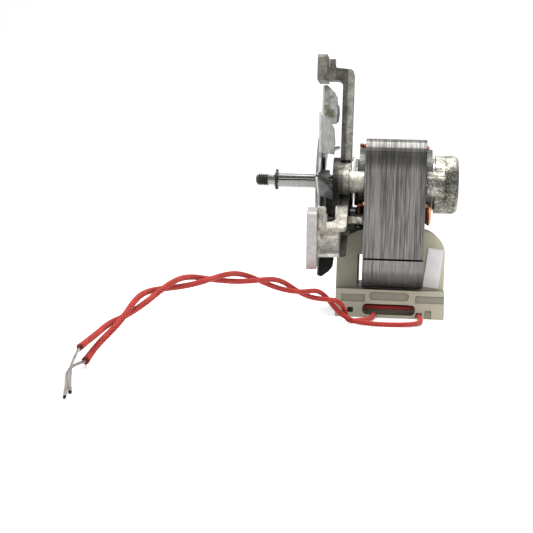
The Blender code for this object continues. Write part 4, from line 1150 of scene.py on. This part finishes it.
@dataclass
class Surface:
    """A mesh in the making: grids of points, their faces and an optional value per point."""

    points: list[Array] = field(default_factory=list)
    faces: list[Array] = field(default_factory=list)
    values: list[Array] = field(default_factory=list)
    count: int = 0

    def grid(self, points: Array, values: Array | float = 0.0) -> None:
        """Add a grid whose last column joins its first.

        Args:
            points: rows × columns × 3 coordinates.
            values: one value for all points, or one that spreads over rows × columns.
        """
        rows, columns = points.shape[:2]
        row, column = np.meshgrid(np.arange(rows - 1), np.arange(columns), indexing="ij")
        following = (column + 1) % columns
        this, after = row * columns, (row + 1) * columns
        quads = np.stack((this + column, this + following, after + following, after + column), axis=-1)
        self.points.append(points.reshape(-1, 3))
        self.faces.append(quads.reshape(-1, 4) + self.count)
        self.values.append(np.broadcast_to(values, (rows, columns)).ravel())
        self.count += rows * columns

    def build(self, name: str, finish: Material, attribute: str = "") -> bpy.types.Object:
        """Make the object.

        Args:
            name: the piece's name.
            finish: its material.
            attribute: name of the point attribute that keeps the values, or nothing to drop them.

        Returns:
            The new object, linked to the scene.
        """
        points = np.vstack(self.points)
        faces = np.vstack(self.faces)
        mesh = bpy.data.meshes.new(name)
        mesh.vertices.add(len(points))
        mesh.vertices.foreach_set("co", points.astype(np.float32).ravel())
        mesh.loops.add(faces.size)
        mesh.loops.foreach_set("vertex_index", faces.astype(np.int32).ravel())
        mesh.polygons.add(len(faces))
        mesh.polygons.foreach_set("loop_start", np.arange(0, faces.size, 4, dtype=np.int32))
        mesh.update(calc_edges=True)
        mesh.validate()
        mesh.shade_smooth()
        if attribute:
            layer = mesh.attributes.new(attribute, "FLOAT", "POINT")
            layer.data.foreach_set("value", np.concatenate(self.values).astype(np.float32))
        mesh.materials.append(finish)
        made = bpy.data.objects.new(name, mesh)
        bpy.context.scene.collection.objects.link(made)
        return made


def tube_points(path: Array, radii: Array, angles: Array) -> Array:
    """Rings round a path: each point is path + radius × (cos × level + sin × upright).

    Args:
        path: middle line, one row per ring.
        radii: one row per ring, with one column or as many as there are angles.
        angles: where each ring's points lie, in radians.

    Returns:
        Rings × angles × 3 coordinates.
    """
    _, level, upright = curve_frames(path)
    return path[:, None] + radii[..., None] * sideways(angles[None, :], level[:, None], upright[:, None])


LEAD_DIAMETER = 0.0019
TWIST_RADIUS = 0.00135
LEAD_REST = 0.00125
PAIR_ROUTE = (
    (0.0001, -0.0550, 0.0016),
    (-0.0074, -0.0620, 0.0099),
    (-0.0183, -0.0780, 0.0141),
    (-0.0317, -0.1000, 0.0197),
    (-0.0467, -0.1280, 0.0215),
    (-0.0590, -0.1570, 0.0193),
    (-0.0672, -0.1820, 0.0110),
)


def twisted_points(side: float, per_segment: int = 4) -> Array:
    """One strand of the pair: half a turn round the middle line between route points.

    Args:
        side: 1 or -1, the strand of the pair.
        per_segment: steps between two points of the route.

    Returns:
        The strand's points, one row each.
    """
    middle = smooth_curve(PAIR_ROUTE, per_segment)
    _, level, upright = curve_frames(middle)
    phase = np.pi * np.arange(len(middle)) / per_segment
    return middle + side * TWIST_RADIUS * sideways(phase, level, upright)


@dataclass(frozen=True)
class Braid:
    """Weave of a sleeve: crossing bundles, each one over and then under the others."""

    bundles: int = 6
    pitch: float = 0.0017
    height: float = 0.00013
    row: float = 0.00022
    columns: int = 40

    def heights(self, along: Array, angles: Array) -> Array:
        """Height from 0 to 1 of the bundle on top, half a sine across its own width.

        The two ways of winding are numbered by turns × bundles ± distance ÷ pitch; on a cell where the
        two numbers' whole parts add up to an even number the first way lies on top, else the second.

        Args:
            along: distances along the sleeve, one per row.
            angles: angles round the sleeve in radians, one per column.

        Returns:
            Heights from 0 to 1, rows × columns.
        """
        turns = self.bundles * angles[None, :] / TURN
        steps = along[:, None] / self.pitch
        first, second = turns + steps, turns - steps
        even = (np.floor(first) + np.floor(second)) % 2.0 < 0.5
        return np.where(even, np.sin(np.pi * (first % 1.0)), np.sin(np.pi * (second % 1.0)))


@dataclass
class Lead:
    """One sleeved lead: its way out of the box, its share of the twisted pair and its bare end."""

    letter: str
    side: float
    start: tuple
    end: tuple
    bare: tuple
    fray: float
    bore: float = 0.00050
    swell_length: float = 0.0035
    rim_rows: int = 12
    rim_steps: int = 4
    wire: float = 0.00016
    outer_wires: int = 6
    wire_spread: float = 0.00034
    lay_length: float = 0.0085
    fibres: int = 18
    fibre_rows: int = 5
    fibre_inset: float = 0.0002
    fibre_splay: float = 0.00035
    fibre_reach: tuple[float, float] = (0.0008, 0.0010)
    fibre_radii: tuple[float, float] = (0.00009, 0.00004)
    braid: Braid = Braid()

    def path(self) -> Array:
        """Dense middle line of the sleeve."""
        return smooth_curve(np.vstack((self.start, twisted_points(self.side), self.end)))

    def build(self, finishes: Finishes) -> None:
        """Args:
            finishes: every finish, of which the leads take those for sleeve and wire.
        """
        dense = self.path()
        sleeve = self.sleeve(dense, finishes.by_slot["sleeve"])
        strands = self.strands(finishes.by_slot["tinned_wire"])
        pieces = [strands, self.frayed_ends(dense, finishes.by_slot["sleeve"])]
        for piece in pieces:
            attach(piece, STATOR)
        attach(sleeve, STATOR)
        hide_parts(f"lead_{self.letter}")
        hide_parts(f"conductor_{self.letter}")

    def sleeve(self, dense: Array, finish: Material) -> bpy.types.Object:
        """Braided tube, closed by a short inner wall at its free end.

        Args:
            dense: dense middle line of the sleeve.
            finish: the piece's material.

        Returns:
            The sleeve's object.
        """
        path = resample(dense, self.braid.row)
        along = travelled(path)
        angles = round_angles(self.braid.columns)
        weave = self.braid.heights(along, angles)
        swell = self.fray * np.exp(-(along[-1] - along) / self.swell_length)
        radii = LEAD_DIAMETER / 2.0 + swell[:, None] + self.braid.height * (weave - 0.6)
        surface = Surface()
        surface.grid(tube_points(path, radii, angles), weave)
        inner = path[-self.rim_rows :][::-1]
        widths = np.linspace(LEAD_DIAMETER / 2.0 + self.fray, self.bore + self.fray, self.rim_steps)
        rim = np.concatenate((widths, np.full(len(inner) - self.rim_steps, self.bore)))
        rim_path = np.vstack((np.repeat(inner[:1], self.rim_steps, axis=0), inner[: -self.rim_steps]))
        _, level, upright = curve_frames(path)
        spread = sideways(angles[None, :], level[-1], upright[-1])
        surface.grid(rim_path[:, None] + rim[:, None, None] * spread, 0.35)
        return surface.build(f"braided_sleeve_{self.letter}", finish, WEAVE_HEIGHT)

    def strands(self, finish: Material) -> bpy.types.Object:
        """Bare conductor: six fine wires in a slow helix that opens towards the tip, round a seventh.

        Args:
            finish: the piece's material.

        Returns:
            The strands' object.
        """
        path = resample(smooth_curve(self.bare), 0.0007)
        along = travelled(path)
        _, level, upright = curve_frames(path)
        angles = round_angles(8)
        radii = np.full((len(path), 1), self.wire)
        surface = Surface()
        for number in range(self.outer_wires):
            turn = TURN * (number / self.outer_wires + along / self.lay_length)
            opening = 1.0 + 0.25 * (along / along[-1]) ** 3 * math.sin(1.7 * number + 0.4)
            offset = self.wire_spread * opening
            centre = path + offset[:, None] * sideways(turn, level, upright)
            surface.grid(tube_points(centre, radii, angles))
        surface.grid(tube_points(path, radii, angles))
        return surface.build(f"bare_strands_{self.letter}", finish)

    def frayed_ends(self, dense: Array, finish: Material) -> bpy.types.Object:
        """Short loose fibres that stand off the cut end of the braid.

        Args:
            dense: dense middle line of the sleeve.
            finish: the piece's material.

        Returns:
            The fibres' object.
        """
        path = resample(dense, 0.001)
        tangents, level, upright = curve_frames(path)
        tip, ahead = path[-1], tangents[-1]
        surface = Surface()
        angles = round_angles(5)
        steps = np.linspace(0.0, 1.0, self.fibre_rows)[:, None]
        radii = np.linspace(*self.fibre_radii, self.fibre_rows)[:, None]
        splay = self.fibre_splay + 0.6 * self.fray
        away = LEAD_DIAMETER / 2.0 + self.fray - self.fibre_inset + splay * steps**2
        shortest, spread = self.fibre_reach
        for number in range(self.fibres):
            around = TURN * number / self.fibres + 0.35 * math.sin(7.0 * number)
            reach = shortest + (spread + 2.0 * self.fray) * abs(math.sin(2.3 * number + self.side))
            outward = math.cos(around) * level[-1] + math.sin(around) * upright[-1]
            fibre = tip + outward * away + ahead * reach * steps
            surface.grid(tube_points(fibre, radii, angles), 0.7)
        return surface.build(f"frayed_fibres_{self.letter}", finish, WEAVE_HEIGHT)


LEADS = (
    Lead(
        letter="a",
        side=-1.0,
        start=(
            *((0.0276, -0.0232, LEAD_REST), (0.0278, -0.0330, LEAD_REST), (0.0280, -0.0440, LEAD_REST)),
            *((0.0268, -0.0535, LEAD_REST), (0.0222, -0.0605, LEAD_REST), (0.0145, -0.0632, LEAD_REST)),
            (0.0070, -0.0612, LEAD_REST),
        ),
        end=((-0.0699, -0.1908, 0.0056), (-0.0712, -0.2000, 0.0022)),
        bare=(
            (-0.0713, -0.2004, 0.0021),
            (-0.0729, -0.2090, 0.0016),
            (-0.0722, -0.2170, 0.0010),
            (-0.0686, -0.2320, 0.0006),
            (-0.0638, -0.2520, 0.0006),
        ),
        fray=0.00022,
    ),
    Lead(
        letter="b",
        side=1.0,
        start=(
            *((0.0089, -0.0232, LEAD_REST), (0.0089, -0.0310, LEAD_REST)),
            *((0.0082, -0.0400, LEAD_REST), (0.0050, -0.0490, LEAD_REST)),
        ),
        end=((-0.0703, -0.1915, 0.0088), (-0.0722, -0.2030, 0.0064)),
        bare=(
            (-0.0723, -0.2034, 0.0062),
            (-0.0715, -0.2150, 0.0030),
            (-0.0681, -0.2300, 0.0011),
            (-0.0643, -0.2445, 0.0006),
        ),
        fray=0.00005,
    ),
)


@dataclass(frozen=True)
class ThreadedShaft:
    """The shaft with a real thread on its nose, in place of the plain one."""

    tip: float = -0.0446
    rear: float = 0.0394
    radius: float = 0.0030
    nose_radius: float = 0.00265
    nose_length: float = 0.0054
    neck_radius: float = 0.0022
    neck_length: float = 0.0026
    clip_setback: float = 0.0005
    groove_radius: float = 0.0023
    groove_width: float = 0.0015
    chamfer: float = 0.0004
    pitch: float = 0.0010
    depth: float = 0.00048
    dome: float = 0.0011
    nose_rows: int = 150
    run_in: float = 0.0004
    run_out: float = 0.0002
    pinhole: float = 0.00002
    columns: int = 64

    def profile(self) -> Array:
        """Break points of the plain shaft, as X and radius, without the flat ends.

        Returns:
            The points from tip to rear, one row each.
        """
        nose_end = self.tip + self.nose_length
        shoulder = nose_end + self.neck_length
        groove = shoulder + self.clip_setback
        groove_end = groove + self.groove_width
        small = self.chamfer / 2.0
        return np.array(
            [
                (self.tip, self.nose_radius - self.dome * 1.3),
                (self.tip + self.dome * 0.3, self.nose_radius - self.dome * 0.6),
                (self.tip + self.dome, self.nose_radius),
                (nose_end, self.nose_radius),
                (nose_end, self.neck_radius),
                (shoulder, self.neck_radius),
                (shoulder, self.radius - small),
                (shoulder + small, self.radius),
                (groove, self.radius),
                (groove, self.groove_radius),
                (groove_end, self.groove_radius),
                (groove_end, self.radius),
                (self.rear - self.chamfer, self.radius),
                (self.rear, self.radius - self.chamfer),
            ]
        )

    def build(self, finish: Material) -> None:
        """Lathe surface whose radius on the nose dips by a ridged wave that climbs one pitch a turn.

        Args:
            finish: the piece's material.
        """
        breaks = self.profile()
        nose = np.linspace(self.tip, self.tip + self.nose_length, self.nose_rows)
        nose_radii = np.interp(nose, breaks[:4, 0], breaks[:4, 1])
        x = np.concatenate((nose, breaks[4:, 0]))
        radii = np.concatenate((nose_radii, breaks[4:, 1]))
        angles = round_angles(self.columns)
        wave = np.abs(((x[:, None] / self.pitch - angles[None, :] / TURN) % 1.0) * 2.0 - 1.0)
        on_nose = (x < self.tip + self.nose_length - self.run_out)[:, None]
        run_in = np.clip((x - self.tip) / self.run_in, 0.0, 1.0)[:, None]
        rings = radii[:, None] - self.depth * np.clip(wave * 1.3 - 0.15, 0.0, 1.0) * on_nose * run_in
        end = np.full((1, self.columns), self.pinhole)
        rings = np.vstack((end, rings, end))
        x = np.concatenate((x[:1], x, x[-1:]))
        surface = Surface()
        surface.grid(about_shaft(x[:, None], rings, angles[None, :]), (angles / TURN)[None, :])
        shaft = surface.build("threaded_shaft", finish, ROUND_SHARE)
        shaft.data.set_sharp_from_angle(angle=SHARP_ANGLE)
        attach(shaft, ROTOR)
        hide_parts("shaft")
        log.info("shaft thread of pitch %.1f mm", self.pitch * 1000.0)


@dataclass(frozen=True)
class CoolingFan:
    """Pressed fan: a dished disc with flaps bent towards the motor, each one turned off the radius."""

    front: float = -0.0174
    sheet: float = 0.0007
    disc_radius: float = 0.0194
    dish_radius: float = 0.0212
    bore: float = 0.0042
    flaps: int = 9
    first_flap: float = 98.2
    setback: float = 0.0013
    sweep: float = 13.0
    inner: float = 0.0258
    outer: float = 0.0413
    flange: float = 0.0003
    root_radius: float = 0.0204
    root_turn: float = 24.0
    edge: float = 0.0011
    bend: float = 0.0011
    bend_angle: float = 72.0
    bend_steps: int = 7
    root_steps: int = 12
    # Each flap's depth from the fan's front, by its distance from the shaft
    depths: Pairs = (
        *((0.0155, 0.0066), (0.0200, 0.0074), (0.0300, 0.0082)),
        *((0.0360, 0.0078), (0.0384, 0.0064), (0.0413, 0.0034)),
    )
    stations: int = 40
    rounds: int = 96

    def section(self, depth: Array) -> tuple[Array, Array]:
        """Closed outline of the bent sheet at each station.

        Args:
            depth: how far each station reaches behind the fan's front.

        Returns:
            Across and rearward distances, one row per station: a flat flange, an arc through the bend
            angle and a straight run to the depth on the outer side, and the same moved inwards by the
            sheet's thickness on the way back.
        """
        turn = np.radians(np.linspace(0.0, self.bend_angle, self.bend_steps))
        last = math.radians(self.bend_angle)
        reach = (depth - self.bend * (1.0 - math.cos(last)) - self.sheet * math.cos(last)) / math.sin(last)
        sides = []
        for thickness in (0.0, self.sheet):
            radius = self.bend - thickness
            across = np.concatenate(([-self.flange], radius * np.sin(turn)))
            back = np.concatenate(([thickness], self.bend - radius * np.cos(turn)))
            rows_across = np.broadcast_to(across, (len(depth), len(across)))
            rows_back = np.broadcast_to(back, (len(depth), len(back)))
            end_across = rows_across[:, -1:] + (reach * math.cos(last))[:, None]
            end_back = rows_back[:, -1:] + (reach * math.sin(last))[:, None]
            sides.append((np.hstack((rows_across, end_across)), np.hstack((rows_back, end_back))))
        (outer_across, outer_back), (inner_across, inner_back) = sides
        return np.hstack((outer_across, inner_across[:, ::-1])), np.hstack((outer_back, inner_back[:, ::-1]))

    @staticmethod
    def heading(turn: float) -> Array:
        """Unit vector in Y and Z at a turn about the shaft."""
        return np.array((math.cos(turn), math.sin(turn)))

    def bend_ends(self, number: int) -> tuple[Array, Array, float]:
        """Ends of one flap's bend line.

        Args:
            number: the flap's place in the round.

        Returns:
            The inner and the outer end as Y and height above the shaft, and the inner end's turn.
        """
        outer_turn = math.radians(self.first_flap + number * 360.0 / self.flaps)
        inner_turn = outer_turn + math.radians(self.sweep)
        return self.inner * self.heading(inner_turn), self.outer * self.heading(outer_turn), inner_turn

    def flap(self, number: int) -> Array:
        """Grid of one flap: its section carried along the straight bend line, with closed ends.

        Args:
            number: the flap's place in the round.

        Returns:
            Stations × outline × 3 coordinates, with a row for each closed end.
        """
        start, end, _ = self.bend_ends(number)
        share = np.linspace(0.0, 1.0, self.stations)[:, None]
        line = start + (end - start) * share
        along = (end - start) / np.linalg.norm(end - start)
        across_way = np.array((-along[1], along[0]))
        radii = np.linalg.norm(line, axis=1)
        known = np.array(self.depths)
        across, back = self.section(np.interp(radii, known[:, 0], known[:, 1]) - self.setback)
        plane = line[:, None] + across[..., None] * across_way
        depth = self.front + self.setback + back
        grid = np.stack((depth, plane[..., 0], SHAFT_HEIGHT + plane[..., 1]), axis=-1)
        middles = grid.mean(axis=1, keepdims=True)
        caps = [np.broadcast_to(middle, (1, grid.shape[1], 3)) for middle in (middles[0], middles[-1])]
        return np.concatenate((caps[0], grid, caps[1]))

    def root(self, number: int) -> Array:
        """Grid of the flat sheet between the disc's rim and one flap's bend line.

        Args:
            number: the flap's place in the round.

        Returns:
            Stations × 4 corners × 3 coordinates.
        """
        inner, outer, inner_turn = self.bend_ends(number)
        rim_turn = inner_turn - math.radians(self.root_turn)
        along = (outer - inner) / np.linalg.norm(outer - inner)
        aside = np.array((along[1], -along[0])) * self.edge
        share = np.linspace(0.0, 1.0, self.root_steps)[:, None]
        far_share = np.linspace(0.0, 1.0, self.root_steps + 1)[:, None]
        rim_near = self.root_radius * self.heading(inner_turn)
        rim_far = self.root_radius * self.heading(rim_turn)
        bend_rail = np.vstack((rim_near, inner + (outer - inner) * share))
        far_rail = rim_far + (outer + aside - rim_far) * far_share
        near, back = self.front + self.setback, self.front + self.setback + self.sheet
        corners = ((near, bend_rail), (near, far_rail), (back, far_rail), (back, bend_rail))
        columns = [
            np.column_stack((np.full(len(rail), x), rail[:, 0], SHAFT_HEIGHT + rail[:, 1]))
            for x, rail in corners
        ]
        return np.stack(columns, axis=1)

    def disc(self) -> Array:
        """Grid of the disc: a flat with a dished rim, turned a full round about the shaft.

        Returns:
            Turns × outline × 3 coordinates.
        """
        profile = np.array(
            (
                (0.0, self.bore),
                (0.0, self.disc_radius),
                (self.setback, self.dish_radius),
                (self.setback + self.sheet, self.dish_radius),
                (self.sheet, self.disc_radius),
                (self.sheet, self.bore),
            )
        )
        turn = np.linspace(0.0, TURN, self.rounds + 1)[:, None]
        return about_shaft(self.front + profile[:, 0], profile[:, 1], turn)

    def build(self, finish: Material) -> None:
        """Make disc and flaps as one piece in place of the plainer fan.

        Args:
            finish: the piece's material.
        """
        surface = Surface()
        surface.grid(self.disc())
        for number in range(self.flaps):
            surface.grid(self.flap(number))
            surface.grid(self.root(number))
        fan = surface.build("bent_flap_fan", finish)
        fan.data.set_sharp_from_angle(angle=SHARP_ANGLE)
        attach(fan, ROTOR)
        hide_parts("cooling_fan")
        log.info("fan with %d flaps", self.flaps)


@dataclass(frozen=True)
class ShadingStraps:
    """Rounded ends of the two copper shading rings, which bulge out of the stack's faces."""

    radius: float = 0.0176
    # Each end's X and the turn about the shaft where it starts and stops
    ends: tuple[tuple[float, float, float], ...] = (
        (0.00115, 31.0, 71.0),
        (0.00115, 211.0, 251.0),
        (0.0307, 214.0, 254.0),
    )
    wire: float = 0.0010
    bulge: float = 0.0007
    blunt: int = 12
    thinnest: float = 0.0004
    sides: int = 16
    steps: int = 29

    def build(self, finish: Material) -> None:
        """Tubes along arcs about the shaft that swell outwards in their middle.

        Args:
            finish: the piece's material.
        """
        surface = Surface()
        angles = round_angles(self.sides)
        share = np.linspace(0.0, 1.0, self.steps)
        swell = np.sin(np.pi * share)
        rings = self.wire * np.sqrt(np.clip(1.0 - (2.0 * share - 1.0) ** self.blunt, self.thinnest, 1.0))
        for x, low, high in self.ends:
            turn = np.radians(low + (high - low) * share)
            reach = self.radius + self.bulge * swell
            surface.grid(tube_points(about_shaft(x, reach, turn), rings[:, None], angles))
        straps = surface.build("shading_strap_ends", finish)
        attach(straps, STATOR)
        log.info("shading straps at %d ends", len(self.ends))


@dataclass(frozen=True)
class CoilShoulder:
    """Black taped block in front of the stack, above the bobbin's rounded cheek: partly the winding's taped
    bulge, partly a dark piece that stands in for shade in front of the rotor.
    """

    # Middle and half size of the low bulge, and of the black tongue in front of the rotor that stands in for
    # shade there
    bulges: tuple[tuple[tuple[float, float, float], tuple[float, float, float]], ...] = (
        ((0.0000, 0.0, 0.0335), (0.0034, 0.0150, 0.0050)),
        ((-0.0015, 0.0, 0.0392), (0.0021, 0.0150, 0.0062)),
    )
    square: float = 7.0
    folds: int = 9
    fold_depth: float = 0.00012
    columns: int = 72
    rows: int = 48

    def build(self, finish: Material) -> None:
        """Rounded block, whose distance from the middle follows a high-power ellipsoid, with tape laps.

        Args:
            finish: the piece's material.
        """
        across = round_angles(self.columns)[None, :]
        along = np.linspace(-np.pi / 2.0, np.pi / 2.0, self.rows)[:, None]
        parts = (np.cos(across) * np.cos(along), np.sin(along), np.sin(across) * np.cos(along))
        way = np.stack(np.broadcast_arrays(*parts), axis=-1)
        reach = np.sum(np.abs(way) ** self.square, axis=-1, keepdims=True) ** (-1.0 / self.square)
        lap = self.fold_depth * np.abs(np.sin(self.folds * np.pi * reach * way[..., 1:2]))
        surface = Surface()
        for middle, half in self.bulges:
            surface.grid(np.array(middle) + way * reach * (np.array(half) - lap))
        bulge = surface.build("coil_tape_and_shade_block", finish)
        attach(bulge, STATOR)
        log.info("taped shoulder of the coil")


@dataclass(frozen=True)
class LocatingPegs:
    """Cast pegs that stand off the bracket's channels and meet the stack's front face."""

    start: float = -0.0036
    stop: float = 0.0036
    height: float = 0.0403
    spread: float = 0.0255
    radius: float = 0.00165
    collar: float = 0.00025
    collar_from: float = 0.42
    sides: int = 28
    steps: int = 15

    def build(self, finish: Material) -> None:
        """One straight tube on each side, with a raised collar at both ends.

        Args:
            finish: the piece's material.
        """
        surface = Surface()
        angles = round_angles(self.sides)
        share = np.linspace(0.0, 1.0, self.steps)
        rings = np.full(self.steps, self.radius) + self.collar * (np.abs(share - 0.5) > self.collar_from)
        rings[0] = rings[-1] = 0.0
        for side in (-1.0, 1.0):
            along = self.start + (self.stop - self.start) * share
            place = (np.full(self.steps, side * self.spread), np.full(self.steps, self.height))
            surface.grid(tube_points(np.stack((along, *place), axis=-1), rings[:, None], angles))
        pegs = surface.build("locating_pegs", finish)
        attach(pegs, STATOR)
        log.info("locating pegs")


@dataclass(frozen=True)
class BearingCap:
    """Domed cap that closes the front bearing's housing towards the rotor."""

    start: float = -0.0012
    stop: float = 0.00035
    radius: float = 0.0101
    edge: float = 0.0005
    bore: float = 0.0036
    edge_steps: int = 7
    rounds: int = 96

    def build(self, finish: Material) -> None:
        """Ring turned about the shaft from a rounded profile.

        Args:
            finish: the piece's material.
        """
        corner = np.linspace(0.0, np.pi / 2.0, self.edge_steps)
        x = self.stop - self.edge + self.edge * np.sin(corner)
        radii = self.radius - self.edge + self.edge * np.cos(corner)
        rounded = np.column_stack((x, radii))
        profile = np.vstack(
            ((self.start, self.bore), (self.start, self.radius), rounded, (self.stop, self.bore))
        )
        turn = np.linspace(0.0, TURN, self.rounds + 1)[:, None]
        surface = Surface()
        surface.grid(about_shaft(profile[:, 0], profile[:, 1], turn))
        cap = surface.build("front_bearing_cap", finish)
        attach(cap, STATOR)
        log.info("front bearing cap")


@dataclass(frozen=True)
class RearGussets:
    """Sloping webs that carry the rear bracket's arms up to the bearing cup."""

    front: float = 0.0324
    rear: tuple[float, float] = (0.0365, 0.0354)
    near: float = 0.0296
    far: float = 0.0108
    low: float = 0.0575
    tops: tuple[float, float] = (0.0598, 0.0634)
    steps: int = 6

    def build(self, finish: Material) -> None:
        """Four-cornered section that narrows and rises evenly from the arm's end to the cup.

        Args:
            finish: the piece's material.
        """
        share = np.linspace(0.0, 1.0, self.steps)
        surface = Surface()
        top = self.tops[0] + (self.tops[1] - self.tops[0]) * share
        rear = self.rear[0] + (self.rear[1] - self.rear[0]) * share
        front = np.full(self.steps, self.front)
        low = np.full(self.steps, self.low)
        for side in (-1.0, 1.0):
            aside = side * (self.near + (self.far - self.near) * share)
            section = ((front, low), (front, top), (rear, top), (rear, low))
            rings = np.stack([np.column_stack((x, aside, z)) for x, z in section], axis=1)
            surface.grid(rings)
            for ring in (rings[0], rings[-1]):
                surface.grid(np.stack((ring, np.tile(ring.mean(axis=0), (len(section), 1)))))
        gussets = surface.build("rear_arm_gussets", finish)
        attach(gussets, STATOR)
        log.info("gussets of the rear bracket")


@dataclass(frozen=True)
class FootStops:
    """Small cast blocks behind the two lower feet."""

    front: float = -0.01440
    rear: float = -0.01120
    inner: float = 0.0436
    outer: float = 0.0495
    bottom: float = 0.0362
    top: float = 0.0460
    edge: float = 0.0006
    corner_steps: int = 5

    def build(self, finish: Material) -> None:
        """Rounded block on each side: a round-cornered outline carried upwards, drawn in at both ends.

        Args:
            finish: the piece's material.
        """
        surface = Surface()
        corner = np.radians(np.linspace(0.0, 90.0, self.corner_steps))
        unit = np.stack((np.cos(corner), np.sin(corner)), axis=-1)
        half = np.array(((self.rear - self.front) / 2.0, (self.outer - self.inner) / 2.0)) - self.edge
        quarter = [unit @ np.array(((c, s), (-s, c))) for c, s in ((1, 0), (0, 1), (-1, 0), (0, -1))]
        signs = ((1, 1), (-1, 1), (-1, -1), (1, -1))
        shoulder = (self.top - self.edge, self.top - self.edge / 3.0)
        levels = np.array((self.bottom, self.bottom, *shoulder, self.top))
        insets = np.array((1.0, 0.0, 0.0, 0.6, 1.0)) * self.edge
        for side in (-1.0, 1.0):
            middle = np.array(((self.front + self.rear) / 2.0, side * (self.inner + self.outer) / 2.0))
            rows = []
            for level, inset in zip(levels, insets):
                reach = self.edge - inset
                turns = [middle + np.array(sign) * half + reach * arc for arc, sign in zip(quarter, signs)]
                ring = np.vstack(turns)
                rows.append(np.column_stack((ring, np.full(len(ring), level))))
            rows.append(np.tile((*middle, self.top), (len(rows[0]), 1)))
            surface.grid(np.stack(rows))
        stops = surface.build("foot_stops", finish)
        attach(stops, STATOR)
        log.info("foot stops on both sides")


def main() -> None:
    """Build the scene: camera and leads first, then finishes, small pieces and the studio."""
    bpy.context.scene.view_settings.view_transform = "Standard"
    PhotoCamera().build()
    finishes = Finishes.build()
    for lead in LEADS:
        lead.build(finishes)
    finishes.dress()
    ThreadedShaft().build(finishes.by_node["shaft"])
    CoolingFan().build(finishes.by_node["cooling_fan"])
    ShadingStraps().build(finishes.by_slot["copper"])
    FootStops().build(finishes.by_node["front_bracket"])
    CoilShoulder().build(finishes.by_slot["tape"])
    LocatingPegs().build(finishes.by_slot["casting"])
    BearingCap().build(finishes.by_slot["casting"])
    RearGussets().build(finishes.by_slot["casting"])
    Studio().build()


if __name__ == "__main__":
    main()
